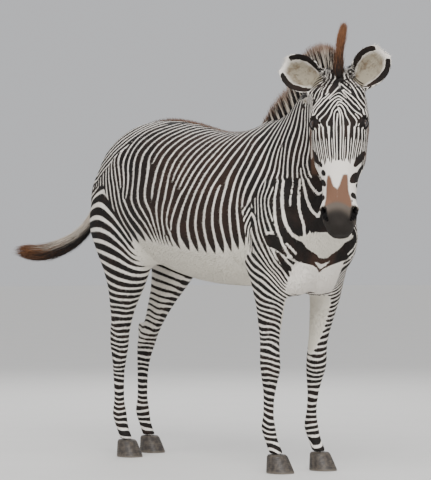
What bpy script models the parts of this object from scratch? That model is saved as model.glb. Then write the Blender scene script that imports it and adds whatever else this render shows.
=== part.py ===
"""A life-size Grevy's zebra, standing square with its head turned to its right.

The flesh is modelled whole, from lofted limbs and rounded muscles joined by a voxel remesh, and is then parted
into head, neck, trunk, tail and legs by thin cuts. Hooves, eyes, ears and mane are pieces of their own.

Places are given as (forward, left, up) from a point on the ground under the middle of the body.
The zebra faces -Y, its left side is +X, and +Z is up.
"""

import math

import bmesh
import bpy
from mathutils import Matrix, Vector

# Driving dimensions, in metres
VOXEL = 0.011  # how finely the joined flesh is remeshed
SMOOTHING = 14  # passes over the joined flesh
FLESH_SHARE = 0.047  # share of the remeshed faces that is kept
GAP = 0.0006  # between two pieces that touch
CUT = 0.0004  # thickness of a parting cut
HOOF_HEIGHT = 0.066
EYE_RADIUS = 0.025

HEAD_TURN = math.radians(43)  # of the head to the right of the body's line
HEAD_PITCH = math.radians(74)  # of the face line below the horizontal
HEAD_ROLL = math.radians(2.5)
POLL = (0.985, -0.170, 1.585)  # the top of the head, between the ears
NECK_TURN = math.radians(14)  # of the cut behind the head, to the right
SHIFT = Vector((0.0153, 0.0697, 0.0))  # brings the middle of the outline to the origin

COLOURS = {
    "coat": (0.62, 0.58, 0.53),
    "hoof": (0.06, 0.055, 0.05),
    "eye": (0.02, 0.012, 0.008),
    "mane": (0.25, 0.13, 0.07),
    "tail_hair": (0.30, 0.17, 0.09),
}


def place(forward, left, up):
    """A point of the zebra's own (forward, left, up) as a vector of the model."""
    return Vector((left, -forward, up))


def clear_scene():
    for obj in list(bpy.data.objects):
        bpy.data.objects.remove(obj)


def material(name, roughness=0.7):
    """The Principled BSDF material called name, made on first use."""
    found = bpy.data.materials.get(name)
    if found:
        return found
    made = bpy.data.materials.new(name)
    made.use_nodes = True
    shader = made.node_tree.nodes["Principled BSDF"]
    shader.inputs["Base Color"].default_value = (*COLOURS[name], 1)
    shader.inputs["Roughness"].default_value = roughness
    return made


def add_object(name, mesh, slot=None):
    obj = bpy.data.objects.new(name, mesh)
    bpy.context.scene.collection.objects.link(obj)
    if slot:
        mesh.materials.clear()
        mesh.materials.append(material(slot))
    return obj


def helper(obj):
    """Marks an object that only cuts or guides."""
    obj.hide_render = True
    obj.display_type = "WIRE"
    return obj


def mesh_of(bm, name):
    bmesh.ops.recalc_face_normals(bm, faces=bm.faces)
    mesh = bpy.data.meshes.new(name)
    bm.to_mesh(mesh)
    bm.free()
    mesh.shade_smooth()
    return mesh


def evaluated_copy(obj):
    """A new mesh with the object's modifiers applied."""
    graph = bpy.context.evaluated_depsgraph_get()
    return bpy.data.meshes.new_from_object(obj.evaluated_get(graph))


def spline_rows(rows, steps):
    """Rows of numbers with steps - 1 smooth rows put between each two, by Catmull-Rom."""
    made = []
    last = len(rows) - 1
    for i in range(last):
        before, start, end, after = (rows[max(0, min(last, i + k))] for k in (-1, 0, 1, 2))
        for step in range(steps):
            t = step / steps
            weights = (
                (-t + 2 * t**2 - t**3) / 2,
                (2 - 5 * t**2 + 3 * t**3) / 2,
                (t + 4 * t**2 - 3 * t**3) / 2,
                (-(t**2) + t**3) / 2,
            )
            made.append([sum(w * r[k] for w, r in zip(weights, (before, start, end, after))) for k in range(len(start))])
    return made + [list(rows[last])]


def ring_points(centre, across, up, width, top, bottom, squareness=2.0, sides=24):
    """A closed ring: half-width to each side, and its own height above and below the centre."""
    points = []
    for i in range(sides):
        turn = 2 * math.pi * i / sides
        x, y = math.cos(turn), math.sin(turn)
        x = math.copysign(abs(x) ** (2 / squareness), x)
        y = math.copysign(abs(y) ** (2 / squareness), y)
        points.append(centre + across * (x * width) + up * (y * (top if y > 0 else bottom)))
    return points


def loft(rings):
    """A closed bmesh through rings that have the same number of points."""
    bm = bmesh.new()
    loops = [[bm.verts.new(p) for p in ring] for ring in rings]
    count = len(rings[0])
    for lower, upper in zip(loops, loops[1:]):
        for i in range(count):
            j = (i + 1) % count
            bm.faces.new((lower[i], lower[j], upper[j], upper[i]))
    bm.faces.new(loops[0])
    bm.faces.new(loops[-1])
    return bm


def ball(centre, radii, axes=None, detail=4):
    """An ellipsoid with radii along the three axes, which are the model's own by default."""
    bm = bmesh.new()
    bmesh.ops.create_icosphere(bm, subdivisions=detail, radius=1.0)
    turn = Matrix(axes).transposed().to_4x4() if axes else Matrix.Identity(4)
    matrix = Matrix.Translation(centre) @ turn @ Matrix.Diagonal((*radii, 1))
    bmesh.ops.transform(bm, matrix=matrix, verts=bm.verts)
    return bm


# ---------------------------------------------------------------- head axes
class Head:
    """The head's own axes: down the face, out of the forehead, and to its left."""

    ahead = Vector((-math.sin(HEAD_TURN), -math.cos(HEAD_TURN), 0))
    face = ahead * math.cos(HEAD_PITCH) - Vector((0, 0, math.sin(HEAD_PITCH)))
    level = Vector((math.cos(HEAD_TURN), -math.sin(HEAD_TURN), 0))
    left = (level * math.cos(HEAD_ROLL) + face.cross(level) * math.sin(HEAD_ROLL)).normalized()
    out = face.cross(left).normalized()
    poll = place(*POLL)

    @classmethod
    def at(cls, down, out, left):
        """A point down the face from the poll, out of the forehead plane, and to the left."""
        return cls.poll + cls.face * down + cls.out * out + cls.left * left


# ---------------------------------------------------------------- flesh
# Trunk: forward, top, height of the widest place, bottom, half-width
TRUNK = (
    (-0.672, 1.235, 1.140, 1.040, 0.042),
    (-0.642, 1.300, 1.145, 0.995, 0.108),
    (-0.580, 1.362, 1.150, 0.950, 0.168),
    (-0.480, 1.422, 1.150, 0.905, 0.226),
    (-0.360, 1.460, 1.145, 0.870, 0.262),
    (-0.220, 1.462, 1.120, 0.825, 0.280),
    (-0.060, 1.440, 1.090, 0.780, 0.286),
    (0.100, 1.402, 1.075, 0.755, 0.284),
    (0.260, 1.396, 1.070, 0.748, 0.264),
    (0.400, 1.418, 1.070, 0.752, 0.236),
    (0.520, 1.400, 1.060, 0.762, 0.214),
    (0.620, 1.320, 1.040, 0.780, 0.196),
    (0.690, 1.190, 1.010, 0.830, 0.160),
    (0.725, 1.100, 0.990, 0.880, 0.100),
)

# Neck: forward, left, up of the middle line, half-width, height above it and below it
NECK = (
    (0.300, 0.000, 1.150, 0.170, 0.240, 0.200),
    (0.440, 0.000, 1.200, 0.172, 0.230, 0.300),
    (0.580, -0.020, 1.265, 0.155, 0.200, 0.270),
    (0.700, -0.055, 1.345, 0.128, 0.150, 0.215),
    (0.800, -0.095, 1.415, 0.106, 0.142, 0.175),
    (0.885, -0.135, 1.462, 0.090, 0.145, 0.145),
    (0.950, -0.172, 1.490, 0.082, 0.115, 0.125),
)

# Head: down the face from the poll, half-width, height of the brow line, depth, squareness
HEAD = (
    (-0.020, 0.044, -0.050, 0.080, 2.2),
    (0.020, 0.074, -0.020, 0.130, 2.3),
    (0.080, 0.104, 0.000, 0.190, 2.4),
    (0.140, 0.117, 0.006, 0.236, 2.5),
    (0.200, 0.112, 0.005, 0.260, 2.5),
    (0.265, 0.108, 0.000, 0.252, 2.5),
    (0.322, 0.099, -0.004, 0.222, 2.4),
    (0.380, 0.080, -0.007, 0.186, 2.3),
    (0.440, 0.067, -0.010, 0.158, 2.2),
    (0.505, 0.067, -0.014, 0.144, 2.2),
    (0.562, 0.065, -0.028, 0.136, 2.2),
    (0.607, 0.052, -0.050, 0.122, 2.1),
    (0.629, 0.034, -0.068, 0.100, 2.0),
)

# Legs, for one side: up, forward, outward, half-width, half-length to the front and to the back
FORELEG = (
    (1.220, 0.440, 0.110, 0.070, 0.100, 0.110),
    (1.080, 0.505, 0.135, 0.085, 0.140, 0.140),
    (0.960, 0.535, 0.155, 0.088, 0.138, 0.145),
    (0.860, 0.546, 0.160, 0.078, 0.110, 0.130),
    (0.780, 0.550, 0.158, 0.066, 0.088, 0.100),
    (0.700, 0.545, 0.152, 0.056, 0.072, 0.074),
    (0.610, 0.533, 0.140, 0.047, 0.057, 0.056),
    (0.530, 0.525, 0.128, 0.040, 0.046, 0.046),
    (0.470, 0.523, 0.121, 0.043, 0.047, 0.046),
    (0.420, 0.524, 0.117, 0.044, 0.047, 0.046),
    (0.370, 0.519, 0.114, 0.036, 0.036, 0.040),
    (0.310, 0.512, 0.112, 0.026, 0.028, 0.032),
    (0.230, 0.505, 0.110, 0.024, 0.026, 0.031),
    (0.180, 0.504, 0.109, 0.033, 0.034, 0.041),
    (0.140, 0.516, 0.109, 0.031, 0.032, 0.036),
    (0.105, 0.535, 0.109, 0.031, 0.032, 0.034),
    (0.070, 0.556, 0.109, 0.034, 0.035, 0.038),
    (0.045, 0.568, 0.109, 0.030, 0.031, 0.034),
)
HINDLEG = (
    (1.300, -0.390, 0.100, 0.070, 0.110, 0.110),
    (1.160, -0.415, 0.130, 0.104, 0.170, 0.170),
    (1.020, -0.420, 0.146, 0.106, 0.190, 0.190),
    (0.910, -0.408, 0.148, 0.094, 0.172, 0.160),
    (0.820, -0.400, 0.143, 0.080, 0.145, 0.125),
    (0.740, -0.412, 0.136, 0.066, 0.110, 0.094),
    (0.660, -0.438, 0.130, 0.052, 0.076, 0.070),
    (0.590, -0.456, 0.124, 0.042, 0.056, 0.056),
    (0.530, -0.475, 0.119, 0.040, 0.050, 0.056),
    (0.475, -0.484, 0.116, 0.040, 0.048, 0.047),
    (0.415, -0.490, 0.113, 0.032, 0.037, 0.037),
    (0.340, -0.494, 0.111, 0.025, 0.030, 0.034),
    (0.240, -0.493, 0.109, 0.024, 0.028, 0.033),
    (0.185, -0.491, 0.108, 0.034, 0.037, 0.043),
    (0.140, -0.480, 0.108, 0.031, 0.033, 0.037),
    (0.105, -0.461, 0.108, 0.031, 0.032, 0.034),
    (0.070, -0.440, 0.108, 0.034, 0.035, 0.038),
    (0.045, -0.428, 0.108, 0.030, 0.031, 0.034),
)
# How far each foot stands ahead of the table's, and how much further out its leg begins
STANCE = {
    ("fore", "right"): (0.000, -0.016),
    ("fore", "left"): (0.018, 0.004),
    ("hind", "right"): (0.008, 0.000),
    ("hind", "left"): (-0.105, 0.000),
}
STRAIGHT_BELOW = 0.90  # a leg swings from this height

# Tail: forward, left, up, half-width, half-thickness
TAIL_DOCK = (
    (-0.590, 0.000, 1.345, 0.042, 0.036),
    (-0.645, 0.000, 1.326, 0.036, 0.032),
    (-0.694, 0.000, 1.278, 0.029, 0.028),
    (-0.728, -0.004, 1.208, 0.024, 0.025),
    (-0.740, -0.022, 1.140, 0.021, 0.022),
    (-0.740, -0.050, 1.075, 0.019, 0.020),
)
TAIL_TUFT = (
    (-0.740, -0.050, 1.075, 0.019, 0.020),
    (-0.745, -0.080, 1.018, 0.022, 0.022),
    (-0.760, -0.112, 0.972, 0.026, 0.029),
    (-0.794, -0.157, 0.930, 0.030, 0.036),
    (-0.850, -0.212, 0.896, 0.030, 0.038),
    (-0.902, -0.252, 0.888, 0.028, 0.037),
    (-0.948, -0.288, 0.893, 0.022, 0.030),
    (-0.985, -0.318, 0.901, 0.009, 0.012),
)

# Muscles, for one side: forward, outward, up of the middle, then radii across, along and upright
MUSCLES = (
    (0.470, 0.115, 1.170, 0.085, 0.130, 0.210),  # shoulder blade
    (0.595, 0.145, 0.955, 0.105, 0.130, 0.165),  # point of the shoulder
    (0.595, 0.115, 1.080, 0.112, 0.125, 0.170),  # root of the neck
    (0.430, 0.145, 0.980, 0.088, 0.150, 0.150),  # upper arm
    (0.600, 0.055, 0.830, 0.105, 0.105, 0.120),  # breast
    (-0.330, 0.085, 1.270, 0.110, 0.140, 0.140),  # croup
    (-0.530, 0.100, 1.115, 0.100, 0.120, 0.180),  # buttock
    (-0.290, 0.140, 0.960, 0.095, 0.130, 0.150),  # flank fold
)


def trunk_pieces():
    rings = []
    for forward, top, middle, bottom, width in spline_rows(TRUNK, 3):
        rings.append(ring_points(place(forward, 0, middle), Vector((1, 0, 0)), Vector((0, 0, 1)),
                                 width, top - middle, middle - bottom, 2.15, 32))
    return [loft(rings)]


def muscle_pieces():
    made = []
    for forward, outward, up, across, along, upright in MUSCLES:
        for side in (-1, 1):
            made.append(ball(place(forward, side * outward, up), (across, along, upright)))
    made.append(ball(place(0.43, 0, 1.360), (0.062, 0.120, 0.085)))  # withers
    return made


def neck_frames(steps=3):
    """For each ring of the neck: its centre, across and up directions, and three sizes."""
    rows = spline_rows(NECK, steps)
    frames = []
    for i, row in enumerate(rows):
        before, after = rows[max(0, i - 1)], rows[min(len(rows) - 1, i + 1)]
        along = (place(*after[:3]) - place(*before[:3])).normalized()
        across = along.cross(Vector((0, 0, 1))).normalized() * -1
        up = across.cross(along).normalized() * -1
        if up.z < 0:
            up = -up
        frames.append((place(*row[:3]), across, up, *row[3:]))
    return frames


def neck_pieces():
    rings = [ring_points(centre, across, up, width, top, bottom, 2.1, 28)
             for centre, across, up, width, top, bottom in neck_frames()]
    return [loft(rings)]


def head_pieces():
    rings = []
    for down, width, brow, depth, squareness in spline_rows(HEAD, 3):
        middle = brow - depth * 0.42
        rings.append(ring_points(Head.at(down, middle, 0), Head.left, Head.out,
                                 width, brow - middle, middle - (brow - depth), squareness, 28))
    made = [loft(rings)]
    axes = (Head.face, Head.out, Head.left)
    for side in (-1, 1):
        rounds = (
            ((0.100, -0.042, side * 0.070), (0.078, 0.046, 0.040)),  # temple
            ((0.160, -0.034, side * 0.084), (0.046, 0.030, 0.034)),  # orbit
            ((0.285, -0.105, side * 0.060), (0.100, 0.070, 0.046)),  # cheek bone
            ((0.225, -0.165, side * 0.052), (0.105, 0.095, 0.046)),  # jaw muscle
            ((0.420, -0.085, side * 0.036), (0.100, 0.050, 0.034)),  # upper jaw
            ((0.530, -0.050, side * 0.048), (0.048, 0.036, 0.028)),  # nostril
            ((0.545, -0.095, side * 0.038), (0.058, 0.045, 0.032)),  # lip
        )
        made += [ball(Head.at(*centre), radii, axes) for centre, radii in rounds]
    middle_rounds = (
        ((0.580, -0.085, 0), (0.050, 0.050, 0.046)),  # upper lip
        ((0.568, -0.135, 0), (0.042, 0.030, 0.034)),  # chin
        ((0.030, -0.070, 0), (0.070, 0.070, 0.070)),  # poll
    )
    made += [ball(Head.at(*centre), radii, axes) for centre, radii in middle_rounds]
    return made


def leg_rows(pair, side):
    """The leg's rows with its stance added, the far end of the swing at the foot."""
    swing, spread = STANCE[(pair, side)]
    rows = []
    for up, forward, outward, *rest in FORELEG if pair == "fore" else HINDLEG:
        share = min(1.0, max(0.0, (STRAIGHT_BELOW - up) / (STRAIGHT_BELOW - 0.45)))
        upper = min(1.0, max(0.0, (up - 0.45) / 0.20))
        rows.append((up, forward + swing * share, outward + spread * upper, *rest))
    return rows


def leg_piece(pair, side):
    sign = 1 if side == "left" else -1
    rings = []
    for up, forward, outward, width, front, back in spline_rows(leg_rows(pair, side), 3):
        rings.append(ring_points(place(forward, sign * outward, up), Vector((1, 0, 0)), Vector((0, -1, 0)),
                                 width, front, back, 2.1, 24))
    made = [loft(rings)]
    if pair == "hind":
        swing = STANCE[(pair, side)][0]
        made.append(ball(place(-0.520 + swing, sign * 0.119, 0.552), (0.020, 0.024, 0.042)))  # point of the hock
    return made


def tube_along(rows, sides=16):
    """A loft whose rings stand square to the line through their centres."""
    rows = spline_rows(rows, 3)
    rings = []
    for i, row in enumerate(rows):
        before, after = rows[max(0, i - 1)], rows[min(len(rows) - 1, i + 1)]
        along = (place(*after[:3]) - place(*before[:3])).normalized()
        across = along.cross(Vector((0, -1, 0.3))).normalized()
        up = across.cross(along)
        rings.append(ring_points(place(*row[:3]), across, up, row[3], row[4], row[4], 2.0, sides))
    return loft(rings)


def join_flesh():
    """Every piece of flesh as one closed, smooth mesh."""
    pieces = trunk_pieces() + muscle_pieces() + neck_pieces() + head_pieces()
    for pair in ("fore", "hind"):
        for side in ("right", "left"):
            pieces += leg_piece(pair, side)
    pieces.append(tube_along(TAIL_DOCK + TAIL_TUFT[1:]))
    whole = bmesh.new()
    for piece in pieces:
        whole.from_mesh(mesh_of(piece, "piece"))
    mesh = bpy.data.meshes.new("whole")
    whole.to_mesh(mesh)
    whole.free()
    obj = helper(add_object("whole", mesh))
    remesh = obj.modifiers.new("Remesh", "REMESH")
    remesh.mode = "VOXEL"
    remesh.voxel_size = VOXEL
    smooth = obj.modifiers.new("Smooth", "SMOOTH")
    smooth.factor = 0.5
    smooth.iterations = SMOOTHING
    fewer = obj.modifiers.new("Decimate", "DECIMATE")
    fewer.ratio = FLESH_SHARE
    mesh = evaluated_copy(obj)
    bpy.data.objects.remove(obj)
    return mesh


# ---------------------------------------------------------------- parting
# Discs that part the flesh: a point of each, the direction across it, and its radius
def disc(name, centre, normal, radius):
    bm = bmesh.new()
    bmesh.ops.create_cone(bm, cap_ends=True, segments=48, radius1=radius, radius2=radius, depth=CUT)
    turn = Vector(normal).normalized().to_track_quat("Z", "Y").to_matrix().to_4x4()
    bmesh.ops.transform(bm, matrix=Matrix.Translation(centre) @ turn, verts=bm.verts)
    return helper(add_object(name, mesh_of(bm, name)))


def parting_discs():
    made = []
    down = Head.face * 0.33 - Head.out * 0.215
    across = Vector((math.cos(NECK_TURN), -math.sin(NECK_TURN), 0))
    made.append(disc("throat_cut", Head.at(0.145, -0.138, 0), down.cross(across), 0.235))
    made.append(disc("withers_cut", place(0.545, 0, 1.235), place(0.80, 0, 0.60), 0.400))
    made.append(disc("dock_cut", place(-0.716, -0.002, 1.246), place(-0.42, -0.05, -0.90), 0.040))
    made.append(disc("tuft_cut", place(-0.740, -0.052, 1.071), place(-0.10, -0.50, -0.86), 0.060))
    for side in ("left", "right"):
        sign = 1 if side == "left" else -1
        for pair in ("fore", "hind"):
            swing = STANCE[(pair, side)][0]
            if pair == "fore":
                top = place(0.535, sign * 0.160, 0.800)
                tilt = place(0, -sign * 0.78, 0.62)
                joint = place(0.522 + swing, sign * 0.117, 0.424)
            else:
                top = place(-0.410, sign * 0.150, 0.896)
                tilt = place(0.325, -sign * 0.64, 1.0)
                joint = place(-0.490 + swing, sign * 0.116, 0.484)
            made.append(disc(f"{pair}_{side}_top_cut", top, tilt, 0.205 if pair == "fore" else 0.300))
            made.append(disc(f"{pair}_{side}_joint_cut", joint, (0, 0, 1), 0.085))
    return made


def boolean(obj, other, operation="DIFFERENCE"):
    cut = obj.modifiers.new(other.name, "BOOLEAN")
    cut.operation = operation
    cut.solver = "EXACT"
    cut.object = other


def apply_modifiers(obj):
    mesh = evaluated_copy(obj)
    obj.modifiers.clear()
    obj.data = mesh


def loose_pieces(mesh):
    """The mesh's separate bodies, as new bmeshes."""
    source = bmesh.new()
    source.from_mesh(mesh)
    seen = set()
    made = []
    for start in source.faces:
        if start in seen:
            continue
        island = {start}
        waiting = [start]
        while waiting:
            for edge in waiting.pop().edges:
                for face in edge.link_faces:
                    if face not in island:
                        island.add(face)
                        waiting.append(face)
        seen |= island
        piece = bmesh.new()
        moved = {}
        for face in island:
            for vert in face.verts:
                if vert not in moved:
                    moved[vert] = piece.verts.new(vert.co)
            corners = [moved[v] for v in face.verts]
            if not piece.faces.get(corners):
                piece.faces.new(corners)
        made.append(piece)
    source.free()
    return made


# A point inside each piece of the flesh
def landmarks():
    marks = {
        "head": Head.at(0.350, -0.100, 0),
        "neck": place(0.72, -0.060, 1.36),
        "trunk": place(0, 0, 1.10),
        "tail": place(-0.740, -0.022, 1.140),
        "tail_tuft": place(-0.850, -0.205, 0.938),
    }
    for side in ("left", "right"):
        sign = 1 if side == "left" else -1
        for pair in ("fore", "hind"):
            swing = STANCE[(pair, side)][0]
            forward = 0.512 if pair == "fore" else -0.494
            marks[f"{pair}leg_{side}_upper"] = place(forward + swing * 0.8, sign * 0.130, 0.600)
            marks[f"{pair}leg_{side}_lower"] = place(forward + swing, sign * 0.111, 0.300)
    return marks


def part_flesh(flesh):
    """Cuts the flesh apart and returns the pieces by name."""
    for cutter in parting_discs():
        boolean(flesh, cutter)
    pieces = loose_pieces(evaluated_copy(flesh))
    marks = landmarks()
    if len(pieces) != len(marks):
        raise ValueError(f"{len(pieces)} pieces of flesh for {len(marks)} names")
    bpy.data.objects.remove(flesh)
    made = {}
    for name, mark in marks.items():
        nearest = min(pieces, key=lambda piece: min((v.co - mark).length for v in piece.verts))
        pieces.remove(nearest)
        made[name] = add_object(name, mesh_of(nearest, name), "coat")
    return made


# ---------------------------------------------------------------- hooves, eyes, ears, hair
def hoof(pair, side):
    """One hoof, its sole flat on the floor: rings of height, middle, half-width, and length to each end."""
    sign = 1 if side == "left" else -1
    table = FORELEG if pair == "fore" else HINDLEG
    coronet = table[-2][1] + STANCE[(pair, side)][0] + 0.004
    outward = sign * table[-2][2]
    rings = []
    for up, forward, width, front, back in (
        (0.000, 0.012, 0.051, 0.064, 0.054),
        (0.008, 0.011, 0.051, 0.062, 0.054),
        (0.036, 0.004, 0.046, 0.053, 0.048),
        (HOOF_HEIGHT, -0.004, 0.040, 0.042, 0.041),
        (HOOF_HEIGHT + 0.008, -0.006, 0.034, 0.035, 0.036),
    ):
        rings.append(ring_points(place(coronet + forward, outward, up), Vector((1, 0, 0)), Vector((0, -1, 0)),
                                 width, front, back, 2.3, 20))
    name = f"hoof_{pair}_{side}"
    return add_object(name, mesh_of(loft(rings), name), "hoof")


def eye(side):
    sign = 1 if side == "left" else -1
    name = f"eye_{side}"
    bm = bmesh.new()
    centre = Head.at(0.195, -0.036, sign * 0.087)
    bmesh.ops.create_uvsphere(bm, u_segments=14, v_segments=8, radius=EYE_RADIUS)
    turn = (Head.left * sign * 0.8 + Head.out * 0.6).to_track_quat("Z", "Y").to_matrix().to_4x4()
    bmesh.ops.transform(bm, matrix=Matrix.Translation(centre) @ turn, verts=bm.verts)
    return add_object(name, mesh_of(bm, name), "eye")


def ear_axes(side):
    """The ear's root, and the directions to its tip, to its opening and across it."""
    sign = 1 if side == "left" else -1
    lean = math.radians(36 if side == "left" else 60)
    root = Head.at(0.030 if side == "left" else 0.024, -0.046, sign * 0.066)
    upward = Head.face * -math.cos(lean) + Head.left * (sign * math.sin(lean)) - Head.out * 0.10
    upward.normalize()
    opening = (Head.out * 1.0 + Head.face * 0.28 + Head.left * (sign * 0.12)).normalized()
    across = upward.cross(opening).normalized()
    opening = across.cross(upward).normalized()
    return root, upward, opening, across


# Ear: distance from the root, half-width, depth of the cup, how far it wraps round, how far its middle bends back
EAR = (
    (-0.022, 0.030, 0.034, 2.50, 0.000),
    (0.012, 0.046, 0.050, 2.20, 0.004),
    (0.045, 0.062, 0.058, 1.85, 0.007),
    (0.080, 0.072, 0.059, 1.62, 0.008),
    (0.112, 0.073, 0.052, 1.45, 0.006),
    (0.140, 0.065, 0.042, 1.30, 0.002),
    (0.162, 0.049, 0.030, 1.20, -0.003),
    (0.177, 0.028, 0.018, 1.10, -0.008),
)
EAR_THICKNESS = 0.009


def ear(side):
    """A cup of hide, open to the front of the head."""
    root, upward, opening, across = ear_axes(side)
    bm = bmesh.new()
    columns = 10
    rows = spline_rows(EAR, 2)
    loops = []
    for along, width, depth, wrap, back in rows:
        loop = []
        for i in range(columns + 1):
            turn = wrap * (2 * i / columns - 1)
            wide = math.sin(turn) / (math.sin(wrap) if wrap < math.pi / 2 else 1)
            deep = (math.cos(turn) - math.cos(wrap)) / (1 - math.cos(wrap))
            loop.append(bm.verts.new(root + upward * along + across * (width * wide)
                                     - opening * (depth * deep - 0.030 + back)))
        loops.append(loop)
    for lower, upper in zip(loops, loops[1:]):
        for i in range(columns):
            bm.faces.new((lower[i], lower[i + 1], upper[i + 1], upper[i]))
    name = f"ear_{side}"
    obj = add_object(name, mesh_of(bm, name), "coat")
    shell = obj.modifiers.new("Solidify", "SOLIDIFY")
    shell.thickness = EAR_THICKNESS
    shell.offset = 0
    return obj


# Mane: forward, left, up of its foot, height, half-thickness, lean back
MANE = (
    (0.360, 0.000, 1.395, 0.030, 0.016, 0.20),
    (0.430, 0.000, 1.420, 0.072, 0.022, 0.26),
    (0.510, -0.012, 1.432, 0.112, 0.024, 0.34),
    (0.610, -0.045, 1.462, 0.128, 0.024, 0.40),
    (0.700, -0.085, 1.518, 0.125, 0.024, 0.42),
    (0.790, -0.125, 1.575, 0.125, 0.023, 0.40),
    (0.870, -0.150, 1.605, 0.118, 0.022, 0.25),
    (0.935, -0.162, 1.608, 0.105, 0.020, 0.05),
)
# Fringe of hair along the back: forward, left, up of its foot, height, half-thickness, lean back
FRINGE = (
    (-0.500, 0.000, 1.400, 0.006, 0.008, 0.3),
    (-0.430, 0.000, 1.428, 0.014, 0.014, 0.3),
    (-0.340, 0.000, 1.448, 0.026, 0.017, 0.3),
    (-0.200, 0.000, 1.446, 0.038, 0.018, 0.3),
    (-0.050, 0.000, 1.424, 0.034, 0.018, 0.3),
    (0.100, 0.000, 1.388, 0.030, 0.017, 0.3),
    (0.240, 0.000, 1.380, 0.026, 0.016, 0.3),
    (0.350, 0.000, 1.392, 0.022, 0.015, 0.3),
)


def crest(name, rows, slot="mane"):
    """A standing blade of hair, thicker at its foot, along the line of its feet."""
    rows = spline_rows(rows, 2)
    rings = []
    for i, (forward, left, up, height, thick, lean) in enumerate(rows):
        before, after = rows[max(0, i - 1)], rows[min(len(rows) - 1, i + 1)]
        along = (place(*after[:3]) - place(*before[:3]))
        across = Vector((-along.y, along.x, 0)).normalized()
        back = Vector((-along.x, -along.y, 0)).normalized()
        rise = (Vector((0, 0, 1)) + back * lean).normalized()
        foot = place(forward, left, up) - rise * 0.030
        whole = height + 0.030
        rings.append([foot + across * (thick * wide) + rise * (whole * tall) for wide, tall in (
            (-1.0, 0.0), (-1.0, 0.35), (-0.8, 0.7), (-0.45, 0.93), (0.0, 1.0),
            (0.45, 0.93), (0.8, 0.7), (1.0, 0.35), (1.0, 0.0), (0.0, -0.05))])
    return add_object(name, mesh_of(loft(rings), name), slot)


# Forelock: forward, left, up, half-width, half-thickness
FORELOCK = (
    (0.958, -0.160, 1.590, 0.036, 0.030),
    (0.972, -0.163, 1.635, 0.037, 0.031),
    (0.984, -0.165, 1.680, 0.031, 0.027),
    (0.994, -0.166, 1.722, 0.022, 0.020),
    (1.001, -0.167, 1.757, 0.013, 0.012),
    (1.004, -0.167, 1.778, 0.003, 0.003),
)


def inflated(obj, by):
    """A copy of the object grown by this much, as a helper that cuts room for it."""
    bm = bmesh.new()
    bm.from_mesh(evaluated_copy(obj))
    bm.normal_update()
    for vert in bm.verts:
        vert.co += vert.normal * by
    return helper(add_object(obj.name + "_room", mesh_of(bm, obj.name + "_room")))


def nostril(side):
    sign = 1 if side == "left" else -1
    axes = (Head.face, Head.out, Head.left)
    bm = ball(Head.at(0.540, -0.034, sign * 0.060), (0.020, 0.030, 0.009), axes, 2)
    return helper(add_object(f"nostril_{side}", mesh_of(bm, f"nostril_{side}")))


clear_scene()
flesh = add_object("flesh", join_flesh(), "coat")
for side in ("left", "right"):
    boolean(flesh, nostril(side))
apply_modifiers(flesh)
nodes = part_flesh(flesh)
solid_parts = dict(nodes)

for side in ("left", "right"):
    ball_of_eye = eye(side)
    boolean(nodes["head"], inflated(ball_of_eye, GAP))
    for pair in ("fore", "hind"):
        foot = hoof(pair, side)
        boolean(nodes[f"{pair}leg_{side}_lower"], inflated(foot, GAP))

hair = {
    "mane": crest("mane", MANE),
    "dorsal_fringe": crest("dorsal_fringe", FRINGE),
    "forelock": add_object("forelock", mesh_of(tube_along(FORELOCK, 10), "forelock"), "mane"),
}
rooms = {name: inflated(nodes[name], GAP) for name in ("head", "neck", "trunk")}
for side in ("left", "right"):
    cup = ear(side)
    boolean(cup, rooms["head"])
    boolean(cup, rooms["neck"])
    boolean(hair["mane"], inflated(cup, 4 * GAP))
for obj in hair.values():
    for room in rooms.values():
        boolean(obj, room)
boolean(hair["mane"], inflated(hair["forelock"], GAP))
boolean(hair["mane"], inflated(hair["dorsal_fringe"], GAP))
nodes["tail_tuft"].data.materials[0] = material("tail_hair")

# The middle of the whole's outline becomes the origin
for obj in bpy.data.objects:
    obj.location += SHIFT
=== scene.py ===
import math

import bmesh
import bpy
import numpy as np
from mathutils import Matrix, Vector, noise
from mathutils.bvhtree import BVHTree
from mathutils.kdtree import KDTree


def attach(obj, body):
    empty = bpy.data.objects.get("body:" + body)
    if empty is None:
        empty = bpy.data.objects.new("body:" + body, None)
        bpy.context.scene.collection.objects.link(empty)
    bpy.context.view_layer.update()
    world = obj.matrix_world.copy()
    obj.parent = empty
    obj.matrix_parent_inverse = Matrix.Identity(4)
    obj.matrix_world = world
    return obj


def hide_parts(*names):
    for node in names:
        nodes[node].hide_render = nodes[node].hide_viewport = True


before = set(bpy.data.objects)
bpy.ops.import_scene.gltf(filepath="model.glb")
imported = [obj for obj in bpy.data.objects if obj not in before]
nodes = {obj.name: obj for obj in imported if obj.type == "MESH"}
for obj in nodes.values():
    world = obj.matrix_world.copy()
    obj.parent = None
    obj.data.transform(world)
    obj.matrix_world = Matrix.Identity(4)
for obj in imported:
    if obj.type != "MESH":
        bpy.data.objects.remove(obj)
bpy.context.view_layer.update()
scene = bpy.context.scene

# The body's own axes: forward along -Y, left along +X, up along +Z, from a point under its middle
bodyOrigin = np.array((0.0153, 0.0697, 0.0))
fullTurn = 2 * math.pi
batch = 8000  # points worked on at one time

# Tables of places are in millimetres unless a note says otherwise
# Middle line of the body and of the turned neck, seen from above: forward, left
neckLine = ((-2000, 0), (440, 0), (580, -20), (700, -55), (800, -95), (885, -135), (1100, -262))


def smoothStep(value, low, high):
    # 0 at low and 1 at high, which may be the smaller of the two
    share = np.clip((value - low) / (high - low), 0.0, 1.0)
    return share * share * (3 - 2 * share)


def bell(distance, radius):
    return np.exp(-((distance / radius) ** 2))


def unit(vectors):
    length = np.linalg.norm(vectors, axis=-1, keepdims=True)
    return vectors / np.maximum(length, 1e-9)


def metres(places, parts=1000):
    # places given in millimetres, or in another part of a metre
    return np.asarray(places, float) / parts


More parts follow.
